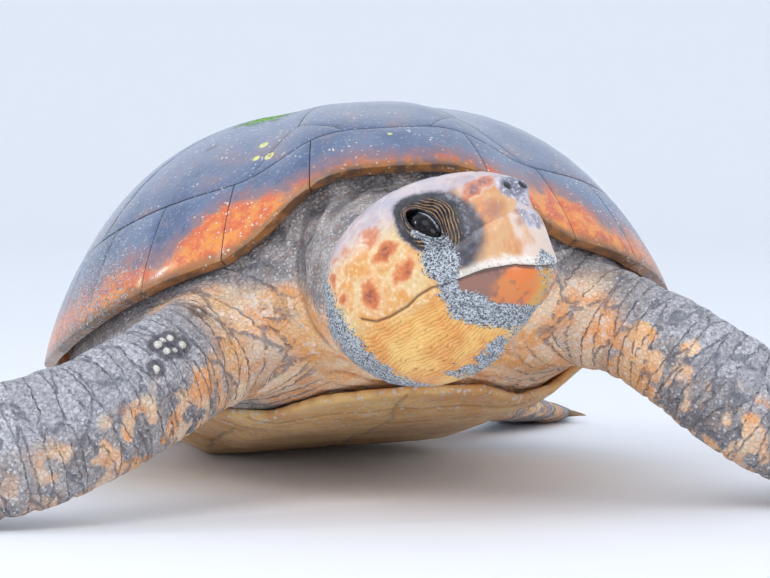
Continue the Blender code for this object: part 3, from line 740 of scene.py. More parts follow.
def make_head_form():
    return drawn_out("head_form", [head_ring(*station) for station in HEAD_STATIONS], 3)


def make_flesh():
    """All of the soft body as overlapping forms, joined into one closed surface."""
    forms = [
        drawn_out("trunk_form", [trunk_ring(*level) for level in TRUNK_LEVELS], 0),
        make_head_form(),
        drawn_out("neck_form", neck_rings(), 3),
        drawn_out("fore_right", limb_rings(FORE_RIGHT, 8), 3),
        drawn_out("fore_left", limb_rings(FORE_LEFT, 8), 3),
        drawn_out("hind_left", limb_rings(HIND, 6), 3),
        drawn_out("hind_right", limb_rings(opposite(HIND), 6), 3),
        drawn_out("tail_form", limb_rings(TAIL, 6), 3),
    ]
    deselect()
    for form in forms:
        form.select_set(True)
    bpy.context.view_layer.objects.active = forms[0]
    bpy.ops.object.join()
    skin = forms[0]
    skin.name = skin.data.name = "skin"
    finished(skin, "REMESH", mode="VOXEL", voxel_size=SKIN_CELL, adaptivity=0)
    return skin


# ---------------------------------------------------------------- shaping the skin


def near_head(points):
    """Which points lie on the head, and all of them in the head's own frame."""
    local = placed(HEAD.inverted(), points)
    reach = (local - np.array(HEAD_MIDDLE)) / np.array(HEAD_REACH)
    return (np.linalg.norm(reach, axis=1) < 1) & (local[:, 1] < HEAD_END), local


def face_share(points):
    """1 on the head, fading raggedly to 0 where the neck begins."""
    on_head, local = near_head(points)
    shake = 0.035 * (bumps(local, 0.016, 35) - 0.5) + 0.016 * (bumps(local, 0.006, 36) - 0.5)
    return on_head * (1 - step(0.218, 0.256, local[:, 1] + 0.10 * (0.06 - local[:, 2]) + shake))


def edit_faces(obj, picked):
    """Opens a piece in edit mode with only the picked faces selected."""
    alone(obj)
    bpy.ops.object.mode_set(mode="EDIT")
    bpy.ops.mesh.select_all(action="DESELECT")
    bpy.ops.mesh.select_mode(type="FACE")
    bpy.ops.object.mode_set(mode="OBJECT")
    obj.data.polygons.foreach_set("select", picked)
    bpy.ops.object.mode_set(mode="EDIT")


def subdivide_where(obj, chosen):
    """Halves the faces that a test picks by their middles."""
    edit_faces(obj, chosen(face_middles(obj)))
    bpy.ops.mesh.subdivide(number_cuts=1, smoothness=0)
    bpy.ops.object.mode_set(mode="OBJECT")


def relax(obj, weights, rounds):
    """Evens out the surface, all over by one weight or where the points' weights are high."""
    points = points_of(obj)
    edges = np.empty(len(obj.data.edges) * 2, dtype=np.int32)
    obj.data.edges.foreach_get("vertices", edges)
    a, b = edges.reshape(-1, 2).T
    count = np.maximum(np.bincount(edges, minlength=len(points)), 1)
    share = 0.6 * np.broadcast_to(weights, len(points))[:, None]
    for _ in range(rounds):
        total = np.empty_like(points)
        for axis in range(3):
            total[:, axis] = sum(np.bincount(here, points[there, axis], len(points))
                                 for here, there in ((a, b), (b, a)))
        points += (total / count[:, None] - points) * share
    move_points(obj, points)


def drop_hidden(skin):
    """Opens the skin inside the dome and above the plastron, and closes it flat there."""
    local = placed(BODY.inverted(), face_middles(skin))
    angle = np.arctan2(local[:, 0], -local[:, 1])
    plan = np.hypot(local[:, 0], local[:, 1])
    out = plan / np.array([rim_radius(a) for a in angle])
    roof = (out < MARGINAL_RING) & (local[:, 2] > 0.26 - 0.10 * out)
    low = np.array([plastron_reach(a) for a in angle])
    floor = (plan < low * 0.8) & (local[:, 2] < 0.09)
    edit_faces(skin, roof | floor)
    bpy.ops.mesh.delete(type="FACE")
    bpy.ops.mesh.select_all(action="SELECT")
    bpy.ops.mesh.fill_holes(sides=0)
    bpy.ops.object.mode_set(mode="OBJECT")


def joint_weights(points):
    """High where limbs, neck and tail meet the trunk."""
    weights = np.zeros(len(points))
    for *centre, radius in SOFT_JOINTS:
        away = distance(points - np.array(MIDDLE), centre)
        weights = np.maximum(weights, 1 - step(radius * 0.6, radius * 1.3, away))
    return weights


def scale_border(flat, centres):
    """Distance to the nearest border between scales with these middles."""
    first, second = np.full(len(flat), 1e9), np.full(len(flat), 1e9)
    for centre in centres:
        away = distance(flat, centre)
        second = np.minimum(second, np.maximum(first, away))
        first = np.minimum(first, away)
    return (second - first) / 2


def mark_strength(flat, marks):
    """1 in the middle of each oval mark, fading to 0 a little past its edge."""
    strength = np.zeros(len(flat))
    for back, height, long, wide, tilt in marks:
        turn = math.radians(tilt)
        x, y = flat[:, 0] - back, flat[:, 1] - height
        a = x * math.cos(turn) + y * math.sin(turn)
        b = y * math.cos(turn) - x * math.sin(turn)
        strength = np.maximum(strength, 1 - 0.5 * np.hypot(a / long, b / wide))
    return np.clip(strength, 0, 1)


def eye_ring(a, b):
    """1 on the edge of the eye's almond opening, less inside it and more outside."""
    long, high, low = EYE_OPENING
    across = np.abs(b) / np.where(b > 0, high, low)
    return ((np.abs(a) / long) ** ALMOND + across**ALMOND) ** (1 / ALMOND)


def lid_shape(local):
    """Lifts for the skin round the left eye, in the head's frame, and the masks with it."""
    centre, out, along, above = eye_axes(1)
    offset = local - centre
    a, b, n = offset @ along, offset @ above, offset @ out
    ring = eye_ring(a, b)
    away = np.hypot(a, b)
    gap = away * (1 - 1 / np.maximum(ring, 0.05))
    flat = np.hypot(a / EYE_STRETCH, b)
    ball = np.sqrt(np.maximum((EYE_RADIUS + LID_GAP) ** 2 - flat**2, 0))
    inner = np.sqrt(np.maximum((EYE_RADIUS - 0.0035) ** 2 - flat**2, 0))
    blend = 0.004
    soft = blend * np.logaddexp(n / blend, np.where(ball > 0, ball, -0.05) / blend)
    zone = (n > -0.014) & (away < 0.058)
    front = np.clip(0.5 + 0.5 * (0.8 * b - 0.8 * a) / np.maximum(away, 1e-4), 0, 1)
    wander = np.column_stack([a, b, n])
    wave = gap / LID_ROLL + 1.2 * (bumps(wander, 0.013, 61) - 0.5)
    rolls = np.cos(wave * 2 * math.pi) * (0.5 + bumps(wander, 0.008, 62))
    reach = 0.010 + 0.016 * front
    strength = step(0.0002, 0.0016, gap) * (1 - step(reach * 0.6, reach, gap))
    strength *= 0.60 + 0.50 * front
    lid = soft + LID_ROLL_HEIGHT * rolls * strength
    lid += LID_BROW * front**2 * hump(gap - 0.0105, 0.0075)
    lid += LID_RIM * hump(gap - 0.0018, 0.0019) * (0.5 + 0.5 * front)
    sunk = 1 - step(0.96, 1.04, ring)
    height = lid * (1 - sunk) + np.minimum(inner - 0.001, lid) * sunk
    height = np.where(zone, height, n)
    groove = np.where(zone, hump(gap, 0.0011), 0)
    golden = np.where(zone, strength * (0.85 + 0.30 * front), 0)
    low = 1 + 0.35 * step(0.0, 0.02, -b)
    reach = gap * low - 0.008 * front + 0.004 * (bumps(wander, 0.014, 63) - 0.5)
    patch = np.where(n > -0.03, 1 - step(0.014, 0.031, reach), 0)
    return (height - n)[:, None] * out, patch, groove, golden, wave


def head_sand(local):
    """How thickly sand clings to the face: under the eyes, at the mouth's corners, on the chin."""
    flat = local[:, 1:] + 0.010 * wandering(local, 0.014, 41)
    sand = np.zeros(len(local))
    for trail in (FACE_SAND, CHIN_SAND):
        for a, b in zip(trail, trail[1:]):
            for share in (0.0, 0.33, 0.67, 1.0):
                *spot, size = (p + (q - p) * share for p, q in zip(a, b))
                away = distance(flat, spot)
                sand = np.maximum(sand, 1 - step(size * 0.5, size * 1.4, away))
    shown = np.maximum(step(0.035, 0.05, np.abs(local[:, 0])), step(0.0, -0.02, local[:, 2]))
    return sand * np.maximum(shown, step(0.022, 0.006, local[:, 1]))


def snout_share(local):
    """1 on the snout, where skin and beak share one colouring, and 0 behind it."""
    ahead = 1 - step(0.040, 0.062, local[:, 1] + 0.25 * (0.05 - local[:, 2]))
    return ahead * step(-0.004, 0.012, local[:, 2])


def smear_share(local):
    """The dark smear that runs from the eye down the side of the snout."""
    smear = line_distance(local[:, 1:], SMEAR) + 0.012 * (bumps(local, 0.018, 51) - 0.5)
    return 1.1 * (1 - step(0.005, 0.024, smear)) * step(0.02, 0.035, np.abs(local[:, 0]))


def nose_share(local):
    """The wet slate patch round the nostrils, with a streak down the front."""
    shake = 0.008 * (bumps(local, 0.010, 52) - 0.5)
    tip = distance(local * np.array([0.75, 1, 1]), NOSE_PATCH)
    streak = line_distance(local[:, 1:], NOSE_STREAK)
    streak = (1 - step(0.002, 0.012, streak + shake)) * hump(np.abs(local[:, 0]) - 0.007, 0.009)
    return np.maximum(1 - step(0.008, 0.026, tip + shake), 0.75 * streak)


def snout_masks(piece, local):
    """Stores the snout's marks, smear, slate patch and pale front, for skin and beak alike."""
    store(piece, "smudge", near_marks(folded(local), SNOUT_MARKS))
    store(piece, "smear", smear_share(local))
    store(piece, "nose", nose_share(local))
    shake = 0.012 * (bumps(local, 0.012, 53) - 0.5)
    # pale front of the snout and beak: partly the horn's own pale tip and partly painted highlight
    store(piece, "pale", 1 - step(-0.002, 0.018, local[:, 1] + shake))


def shape_head(skin):
    """Scales, folds, lids and nostrils on the head, with the masks that colour them."""
    points, normals = points_of(skin), normals_of(skin)
    on_head, local = near_head(points)
    side_view = local[:, 1:]
    top_view = np.abs(local[:, :2])
    side = np.where(local[:, 0] < 0, -1.0, 1.0)
    left = folded(local)
    facing_up = step(0.35, 0.75, turned(HEAD.inverted(), normals)[:, 2])
    wander = wandering(local, 0.012, 31)
    border = scale_border(side_view + 0.006 * wander, CHEEK_SCALES) * (1 - facing_up)
    border += scale_border(top_view + 0.006 * wander, CROWN_SCALES) * facing_up
    spot = mark_strength(side_view + 0.007 * wander, CHEEK_MARKS)
    scaly = on_head * np.maximum(
        facing_up * step(0.02, 0.03, local[:, 1]),
        step(0.09, 0.115, local[:, 1]) * step(-0.004, 0.01, local[:, 2]),
    )
    scaly *= 1 - step(0.225, 0.25, local[:, 1])
    seam = hump(border, 0.0015) * scaly
    lift = (0.0006 * step(0, 0.006, border) * scaly) - 0.0006 * seam

    fold_away = line_distance(side_view, JAW_FOLD)
    low_side = step(0.02, 0.045, np.abs(local[:, 0])) * on_head
    fold = hump(fold_away, 0.0016) * low_side
    lip = hump(line_distance(side_view + np.array([0, 0.006]), JAW_FOLD), 0.004) * low_side
    lift += -0.0030 * fold + 0.0012 * lip
    throat = on_head * (1 - step(-0.012, 0.002, local[:, 2])) * step(0.03, 0.06, local[:, 1])
    turn = np.arctan2(np.abs(local[:, 0]), 0.03 - local[:, 2])
    strands = np.column_stack([turn * 0.085, local[:, 1] * 0.12, np.zeros(len(local))])
    cut = cuts(strands, 0.006, 0.0032, 3, 2.2)
    lift -= 0.0011 * cut * throat
    crease = np.maximum(fold, 0.25 * cut * throat)
    beaks = np.maximum(
        *(step(-0.001, 0.008, depth_within(side_view, line)) for line in (UPPER_REAR, LOWER_REAR))
    )
    lift = lift * (1 - beaks) - 0.0030 * beaks * on_head
    points += normals * lift[:, None]
    swell = (0.0092 * hump(distance(left, NOSE_BULGE), 0.0135) * on_head)[:, None]
    points += turned(HEAD, swell * np.column_stack([0.35 * side, np.full(len(local), -0.85),
                                                    np.full(len(local), 0.30)]))
    rear = 0.9 * step(0.185, 0.215, local[:, 1] - 0.25 * np.minimum(local[:, 2], 0.06))
    rear *= 1 - step(0.228, 0.258, local[:, 1] + 0.030 * (bumps(local, 0.014, 37) - 0.5))
    sand = np.maximum(head_sand(local), rear * (1 - facing_up)) * on_head

    moved, dark, groove, golden, wrinkle = lid_shape(left)
    moved[:, 0] *= side
    points += turned(HEAD, moved * on_head[:, None])
    crease = np.maximum(crease, groove * on_head)
    depth = (left - np.array(NOSTRIL)) @ np.array(NOSTRIL_OUT)
    away = distance(left - depth[:, None] * np.array(NOSTRIL_OUT), NOSTRIL)
    away += np.abs(depth) > 0.03
    hole = NOSTRIL_RIM * hump(away - 0.0070, 0.0022) - NOSTRIL_DEPTH * hump(away, 0.0042)
    points += normals * (hole * on_head)[:, None]
    # painted shade: the pit mask darkens the inside of each nostril
    pit = (1 - step(0.0042, 0.0068, away)) * on_head
    brow = near_marks(left, BROW_MARKS) * on_head
    dark, golden, wrinkle = (mask * on_head for mask in (dark, golden, wrinkle))
    move_points(skin, points)
    return {
        "dark": dark,
        "crease": crease,
        "spot": np.maximum(spot * scaly * (1 - facing_up), brow) * (1 - dark),
        "snout": snout_share(local) * on_head * (1 - 0.85 * step(0.45, 0.8, facing_up)),
        "seam": seam,
        # painted sheen: paler and lilac wherever the head faces up
        "crown": step(0.22, 0.62, turned(HEAD.inverted(), normals)[:, 2]) * on_head,
        "throat": throat,
        "golden": golden,
        "wrinkle": wrinkle,
        "pit": pit,
        "strand": turn * 0.085,
        "sand": sand,
    }


def limb_place(points, stations):
    """How far along a limb each point is in metres, how far round it, and how close."""
    line = np.array([Vector(station[0]) + MIDDLE for station in stations])
    best = np.full(len(points), 1e9)
    along, round_it = np.zeros(len(points)), np.zeros(len(points))
    start = 0.0
    for i, (a, b) in enumerate(zip(line, line[1:])):
        span = b - a
        length = np.linalg.norm(span)
        share = np.clip(((points - a) @ span) / length**2, 0, 1)
        offset = points - a - share[:, None] * span
        away = np.linalg.norm(offset, axis=1)
        closer = away < best
        lead = np.array(stations[i][3], dtype=float)
        lead -= span * (lead @ span) / length**2
        lead /= np.linalg.norm(lead)
        best = np.where(closer, away, best)
        along = np.where(closer, start + share * length, along)
        round_it = np.where(closer, offset @ lead, round_it)
        start += length
    return along, round_it, best


def shape_body(skin, masks):
    """Wrinkles and folds on the neck, shoulders and limbs."""
    points, normals = points_of(skin), normals_of(skin)
    body = placed(BODY.inverted(), points)
    head = placed(HEAD.inverted(), points)
    off_head = 1 - face_share(points)
    crease = masks["crease"]
    lift, limb, length, width, pearl = (np.zeros(len(points)) for _ in range(5))
    middle = points - np.array(MIDDLE)
    rough = 0.06 * (bumps(points, 0.04, 25) - 0.5)
    warm = 1 - step(0.19, 0.27, middle[:, 2] + rough)
    warm *= 1 - step(0.26, 0.34, np.abs(middle[:, 0]) + rough)
    warm *= (1 - step(-0.32, -0.22, middle[:, 1])) * off_head
    neck_under = (1 - step(0.0, 0.07, head[:, 2])) * step(0.12, 0.2, head[:, 1])
    warm = np.maximum(warm, neck_under * (1 - step(0.33, 0.42, head[:, 1])) * off_head)
    warm = np.maximum(warm, 1 - step(0.02, 0.05, middle[:, 2]))
    dust_and_sheen = 0.25 * off_head
    for stations in (FORE_RIGHT, FORE_LEFT, HIND, opposite(HIND)):
        along, across, away = limb_place(points, stations)
        on_limb = 1 - step(0.09, 0.13, away)
        thin = step(0.45, 0.75, along)
        grain = np.column_stack([along, across * 0.16, body[:, 2] * 0.1])
        cut = cuts(grain, 0.022, 0.012, 7, 3.4) * on_limb * (1 - 0.6 * thin) * off_head
        lift -= 0.0026 * cut
        crease = np.maximum(crease, 0.46 * cut)
        length = np.where(on_limb > limb, along, length)
        width = np.where(on_limb > limb, across, width)
        limb = np.maximum(limb, on_limb)
        patches = step(0.44, 0.62, 0.5 * bumps(points, 0.030, 21) + 0.5 * bumps(points, 0.014, 22))
        low = step(-0.02, 0.035, across) * step(0.10, 0.2, along)
        patches *= 0.9 * low * (1 - 0.75 * step(0.30, 0.46, along))
        limb_warm = np.maximum(warm * (1 - step(0.12, 0.22, along)), patches)
        warm = warm * (1 - on_limb) + on_limb * limb_warm
        # pale on the limbs' upper sides: dust, and in part painted sheen
        dust_and_sheen = np.maximum(dust_and_sheen, on_limb * step(0.08, 0.3, along) * (0.98 - 0.75 * low))
    for *place, size in ARM_PATCHES:
        away = distance(points, place) + 0.02 * (bumps(points, 0.012, 27) - 0.5)
        warm = np.maximum(warm, 1 - step(size * 0.4, size, away))
    neck_grain = np.column_stack([head[:, 1], head[:, 0] * 0.2, head[:, 2] * 0.2])
    neck = (1 - step(0.10, 0.2, np.abs(head[:, 1] - 0.34))) * (1 - limb) * off_head
    cut = cuts(neck_grain, 0.024, 0.011, 11, 2.2) * neck
    lift -= 0.0035 * cut
    crease = np.maximum(crease, 0.8 * cut)
    rolls = bumps(points * np.array([1, 1, 1.6]), 0.035, 15) - 0.5
    lift += 0.006 * rolls * off_head * (1 - 0.5 * limb)
    nearest = np.full(len(points), 1.0)
    for *place, size in PEARLS:
        away = distance(points, points[np.argmin(distance(points, place))])
        nearest = np.minimum(nearest, away)
        pearl = np.maximum(pearl, 1 - step(size * 0.5, size * 0.72, away))
        lift += 0.55 * size * hump(away, size * 0.6)
    crease = np.maximum(crease, (1 - step(0.007, 0.017, nearest)) * (1 - pearl))
    points += normals * lift[:, None]
    points[:, 2] = np.maximum(points[:, 2], 0.0)
    move_points(skin, points)
    return {**masks, "crease": crease, "limb": limb, "length": length, "width": width,
            "warm": warm, "dust_and_sheen": dust_and_sheen, "pearl": pearl}


def make_skin(paint):
    """The one skin: joined, made finer where detail needs it, shaped, masked and thinned."""
    skin = make_flesh()
    drop_hidden(skin)
    points = points_of(skin)
    relax(skin, 1.0, 2)
    relax(skin, joint_weights(points), 60)
    subdivide_where(skin, lambda p: near_head(p)[0])

    def by_eye(p):
        chosen, local = near_head(p)
        fold = line_distance(local[:, 1:], JAW_FOLD) < 0.008
        nose = distance(local, NOSE_AT) < 0.026
        return chosen & ((distance(folded(local), EYE_AT) < 0.044) | nose | fold)

    def by_lids(p):
        chosen, local = near_head(p)
        return chosen & (distance(folded(local), EYE_AT) < 0.033)

    def by_pearls(p):
        return distance(p, PEARLS[0][:3]) < 0.035

    for test in (by_eye, by_lids, by_pearls, by_pearls):
        subdivide_where(skin, test)
    relax(skin, near_head(points_of(skin))[0].astype(float), 3)
    for name, values in shape_body(skin, shape_head(skin)).items():
        store(skin, name, values, share=name not in ("wrinkle", "strand", "length", "width"))
    snout_masks(skin, placed(HEAD.inverted(), points_of(skin)))
    store(skin, "head", face_share(points_of(skin)))
    triangles = sum(len(face.vertices) - 2 for face in skin.data.polygons)
    finished(skin, "DECIMATE", ratio=min(1.0, SKIN_TRIANGLES / triangles))
    points = points_of(skin)
    points[:, 2] = np.maximum(points[:, 2], 0)
    move_points(skin, points)
    smooth_shaded(skin)
    paint.on(skin)
    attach(skin, "root")
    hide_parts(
        "trunk", "neck", "head", "lower_jaw", "tail",
        *(part + side for part in ("upper_arm_", "fore_flipper_", "hind_flipper_")
          for side in ("left", "right")),
    )


# ---------------------------------------------------------------- paint


def tone(red, green, blue):
    """A colour from 0 to 255 as a screen shows it, made linear for the shaders."""
    return tuple(((c / 255 + 0.055) / 1.055) ** 2.4 for c in (red, green, blue)) + (1.0,)


class Level:
    """A number that varies over a surface; sums on it add Math nodes."""

    def __init__(self, paint, socket):
        self.paint, self.socket = paint, socket

    def sum(self, operation, *values):
        return self.paint.add("Math", {"operation": operation}, dict(enumerate(values)))

    def __add__(self, other):
        return self.sum("ADD", self, other)

    def __sub__(self, other):
        return self.sum("SUBTRACT", self, other)

    def __rsub__(self, other):
        return self.sum("SUBTRACT", other, self)

    def __mul__(self, other):
        return self.sum("MULTIPLY", self, other)

    __radd__, __rmul__ = __add__, __mul__

    def most(self, other):
        return self.sum("MAXIMUM", self, other)

    def rising(self, low, high):
        """0 below one level, 1 above the other, and smooth between them."""
        return self.paint.add(
            "MapRange", {"interpolation_type": "SMOOTHSTEP", "clamp": True},
            {"Value": self, "From Min": low, "From Max": high, "To Min": 0.0, "To Max": 1.0},
        )


class Paint:
    """A material built on one Principled shader."""

    def __init__(self, name, slot, **fixed):
        self.material = bpy.data.materials.new(name)
        self.material.use_nodes = True
        self.slot = slot
        self.tree = self.material.node_tree
        self.shader = next(n for n in self.tree.nodes if n.type == "BSDF_PRINCIPLED")
        for key, value in fixed.items():
            self.socket(key).default_value = value
        self.place = self.add("TexCoord", {}, {}, "Object")

    def socket(self, key):
        return self.shader.inputs[key.replace("_", " ").title().replace("Ior", "IOR")]

    def add(self, kind, settings, values, output=0):
        """Any node: its type, its settings, the values or links of its sockets, its output."""
        node = self.tree.nodes.new("ShaderNode" + kind)
        for key, value in settings.items():
            setattr(node, key, value)
        for key, value in values.items():
            if isinstance(value, Level):
                self.tree.links.new(value.socket, node.inputs[key])
            else:
                node.inputs[key].default_value = value
        return Level(self, node.outputs[output])

    def kept(self, name):
        return self.add("Attribute", {"attribute_name": name}, {}, "Fac")

    def stretched(self, *scale):
        return self.add("Mapping", {}, {"Vector": self.place, "Scale": scale})

    def noise(self, size, detail=2.0, vector=None, distortion=0.0):
        return self.add("TexNoise", {}, {
            "Vector": vector or self.place, "Scale": 1 / size, "Detail": detail,
            "Distortion": distortion}, "Fac")

    def cells(self, size, feature="F1", vector=None, output="Distance"):
        return self.add("TexVoronoi", {"feature": feature},
                        {"Vector": vector or self.place, "Scale": 1 / size}, output)

    def spread(self, *levels):
        return self.add("CombineXYZ", {}, dict(enumerate(levels)))

    def away(self, place):
        """Distance from a fixed place."""
        return self.add("VectorMath", {"operation": "DISTANCE"}, {0: self.place, 1: place},
                        "Value")

    def random(self, size, vector=None):
        """A random number for each cell."""
        colour = self.cells(size, vector=vector, output="Color")
        return self.add("SeparateColor", {}, {"Color": colour}, "Red")

    def mix(self, share, under, over):
        """One colour over another by a share; each is given by 0 to 255 or made of nodes."""
        under, over = (tone(*c) if isinstance(c, tuple) else c for c in (under, over))
        return self.add("Mix", {"data_type": "RGBA"}, {0: share, 6: under, 7: over}, 2)

    def layered(self, colour, *layers):
        """Lays colours over a first one, each by its share."""
        for share, over in layers:
            colour = self.mix(share, colour, over)
        return colour

    def relief(self, *layers):
        """Bump nodes one on another, each from a height and its depth in metres."""
        normal = None
        for height, depth in layers:
            values = {"Height": height, "Distance": depth, "Strength": 1.0}
            if normal:
                values["Normal"] = normal
            normal = self.add("Bump", {}, values)
        return normal

    def finish(self, **links):
        for key, value in links.items():
            self.tree.links.new(value.socket, self.socket(key))
        return self

    def on(self, piece):
        piece.data.materials.clear()
        piece.data.materials.append(self.material)


def snout_horn(paint):
    """The warm horn of the snout, the same on skin and beak so that no edge shows."""
    small, broad = paint.noise(0.010, 3), paint.noise(0.034, 3, distortion=0.4)
    streak = paint.noise(0.007, 3, paint.stretched(1.0, 1.0, 0.22))
    pale = (paint.kept("pale") + (streak - 0.5) * 0.5).rising(0.30, 0.85)
    smudge = (paint.kept("smudge") + (small - 0.5) * 0.8).rising(0.30, 0.85)
    return paint.layered(
        (216, 172, 124),
        (broad.rising(0.30, 0.70), (212, 140, 84)),
        (small.rising(0.56, 0.74) * 0.4, (240, 214, 180)),
        (streak.rising(0.55, 0.72) * 0.35, (236, 206, 176)),
        (streak.rising(0.42, 0.30) * 0.30, (186, 118, 82)),
        # pale front: partly the horn's own pale tip and partly painted highlight
        (pale * 0.70, (232, 220, 210)),
        (smudge * 0.7, (166, 106, 88)),
    )


def with_smears(paint, colour):
    """Lays the smear beside the eye and the slate patch of the nose, with painted glints of wet
    shine, over a colour.
    """
    fine, small = paint.noise(0.003, 3), paint.noise(0.010, 3)
    smear = (paint.kept("smear") + (small - 0.5) * 0.3).rising(0.15, 0.90)
    slate = paint.layered(
        (58, 58, 68),
        (small.rising(0.42, 0.68), (112, 112, 124)),
        (fine.rising(0.52, 0.66) * 0.6, (84, 68, 56)),
    )
    nose = paint.kept("nose") + (fine - 0.5) * 0.5
    wet_patch_and_glints = paint.layered(
        paint.mix(small.rising(0.44, 0.58), (206, 200, 212), (148, 142, 158)),
        (nose.rising(0.50, 0.95),
         paint.mix(fine.rising(0.42, 0.62), (70, 78, 100), (128, 138, 164))),
        # painted glints: white specks of wet shine on the patch
        (paint.random(0.0022).rising(0.86, 0.94) * 0.8, (216, 222, 234)),
    )
    patch = (nose + (small - 0.5) * 0.3).rising(0.22, 0.55) * 0.9
    return paint.layered(colour, (smear, slate), (patch, wet_patch_and_glints))


def sand_grains(paint, level):
    """Colour, height and cover of sand that clings where a level is high, single at its edge."""
    grain, single = paint.random(0.0014), paint.random(0.0019)
    colour = paint.layered(
        (112, 117, 124),
        (grain.rising(0.15, 0.95), (216, 222, 228)),
        (grain.rising(0.14, 0.04), (62, 64, 72)),
    )
    cover = level * 1.35 - single * 0.75 + (paint.noise(0.009, 2) - 0.5) * 0.5
    return colour, paint.cells(0.0014), cover.rising(0.16, 0.24)


def hide_colour(paint, small, crack, blocks):
    """The grey hide of neck and limbs, orange where it is warm, pale where it is dusty and, on the
    limbs' upper sides, partly painted sheen.
    """
    warm, dust_and_sheen, limb = (paint.kept(key) for key in ("warm", "dust_and_sheen", "limb"))
    fine, middling, broad = paint.noise(0.0045, 3), paint.noise(0.030, 3), paint.noise(0.09, 2)
    pebble = paint.cells(0.0062, "DISTANCE_TO_EDGE")
    flecks = paint.random(0.0024)
    # pale grey where dust lies, partly painted sheen on the limbs' upper sides
    dust_and_sheen_share = (dust_and_sheen + (small - 0.5) * 0.9 + (fine - 0.5) * 0.5).rising(0.25, 0.80) * 0.9
    glow = paint.layered(
        (255, 222, 184),
        (middling.rising(0.3, 0.7), (252, 172, 100)),
        (broad.rising(0.52, 0.64) * 0.45, (232, 168, 80)),
        (small.rising(0.52, 0.68) * 0.7, (255, 232, 214)),
        (fine.rising(0.58, 0.70) * 0.3, (176, 134, 110)),
    )
    return paint.layered(
        (138, 130, 128),
        (middling.rising(0.35, 0.65), (188, 180, 176)),
        (small.rising(0.52, 0.66) * 0.6, (158, 120, 84)),
        ((small * 0.5 + broad * 0.5).rising(0.50, 0.40) * 0.4, (96, 98, 108)),
        (dust_and_sheen_share, paint.mix(fine.rising(0.35, 0.65), (166, 166, 172), (208, 208, 214))),
        ((warm + (small - 0.5) * 0.7 * warm).rising(0.08, 0.50), glow),
        (pebble.rising(0.14, 0.03) * (0.34 - 0.2 * warm), (84, 84, 94)),
        (flecks.rising(0.86, 0.97) * (0.7 - 0.4 * warm), (222, 222, 224)),
        (flecks.rising(0.12, 0.04) * (0.5 - 0.4 * warm), (84, 80, 82)),
        (paint.random(0.016, blocks) * 0.35 * limb, (136, 134, 140)),
        (crack * 0.62, (84, 90, 104)),
    )


def lid_colour(paint, fine, small):
    """The dark bare skin round the eye, with pale threads along its folds, partly painted highlight
    on their crests, and painted shade in the troughs.
    """
    dark, golden = paint.kept("dark"), paint.kept("golden")
    ply = paint.kept("wrinkle") + (small - 0.5) * 0.9
    ply = ply.sum("PINGPONG", ply, 0.5)
    # pale threads on the crests of the wrinkles: partly the lid's own colour and partly painted
    # highlight
    thread_and_crest_highlight = ply.rising(0.22, 0.05) * (golden * 0.9 + (fine - 0.5) * 2.4).rising(0.20, 0.62)
    net = paint.cells(0.0042, "DISTANCE_TO_EDGE").rising(0.10, 0.02) * golden.rising(0.3, 0.7)
    flecked = (fine * 0.65 + paint.random(0.0024) * 0.35).rising(0.42, 0.62)
    return paint.layered(
        (34, 32, 38),
        (small.rising(0.42, 0.68) * 0.7, (66, 64, 74)),
        ((dark + (small - 0.5) * 0.5).rising(0.90, 0.45),
         paint.mix(flecked, (58, 58, 68), (150, 152, 166))),
        (net * small.rising(0.40, 0.56) * 0.6, (138, 106, 72)),
        (thread_and_crest_highlight * 0.85, paint.mix(small.rising(0.40, 0.62), (196, 154, 104), (142, 110, 76))),
        # painted shade: near black in the troughs between the wrinkles
        (ply.rising(0.30, 0.45) * golden.rising(0.05, 0.4) * 0.85, (13, 12, 16)),
    )


def face_colour(paint, fine, small):
    """The head: warm cheeks and a pale slate crown, partly painted sheen where the head faces up,
    with reddish marks, horn ahead, folds below.
    """
    crown, seam, snout = (paint.kept(key) for key in ("crown", "seam", "snout"))
    middling, broad = paint.noise(0.030, 3), paint.noise(0.09, 2)
    cheek = paint.layered(
        (226, 194, 136),
        (middling.rising(0.36, 0.62), (224, 158, 84)),
        (seam * 0.4, (244, 220, 184)),
        (small.rising(0.58, 0.72) * 0.45, (234, 146, 78)),
        (fine.rising(0.46, 0.34) * 0.40, (252, 234, 204)),
    )
    mark = paint.kept("spot") + (small - 0.5) * 0.50 + (fine - 0.5) * 0.28
    cheek = paint.mix(mark.rising(0.10, 0.36) * 0.3, cheek, (246, 216, 174))
    # the crown's pale lilac, laid by the crown mask where the head faces up, is partly painted
    # sheen
    crown_colour_and_sheen = paint.layered(
        (176, 174, 196),
        (middling.rising(0.35, 0.65), (210, 200, 206)),
        (seam * 0.35, (232, 222, 216)),
        ((small * 0.5 + broad * 0.5).rising(0.52, 0.62) * 0.4, (166, 142, 146)),
    )
    core = mark.rising(0.55, 0.95) * (0.35 + 0.65 * fine.rising(0.40, 0.62))
    strand = paint.kept("strand") * 260.0 + middling * 5.0 + small * 1.6
    strand = strand.sum("PINGPONG", strand, 0.5)
    folds = paint.layered(
        (240, 192, 108),
        (middling.rising(0.35, 0.65), (224, 150, 70)),
        (strand.rising(0.13, 0.0) * small.rising(0.36, 0.56) * 0.75, (138, 88, 54)),
        (strand.rising(0.34, 0.5) * small.rising(0.60, 0.44) * 0.5, (250, 222, 166)),
    )
    face = paint.layered(
        cheek,
        (crown * 0.85, crown_colour_and_sheen),
        (mark.rising(0.34, 0.68) * 0.92, paint.mix(crown, (214, 116, 60), (210, 130, 88))),
        (core * 0.9, paint.mix(crown, (126, 62, 58), (116, 92, 112))),
        (fine.rising(0.56, 0.70) * 0.38 * (1 - crown), (206, 128, 72)),
        (snout * (1 - mark.rising(0.3, 0.5)), snout_horn(paint)),
        (paint.kept("throat"), folds),
    )
    return paint.mix((paint.kept("dark") + (small - 0.5) * 0.25).rising(0.18, 0.80),
                     with_smears(paint, face), lid_colour(paint, fine, small))


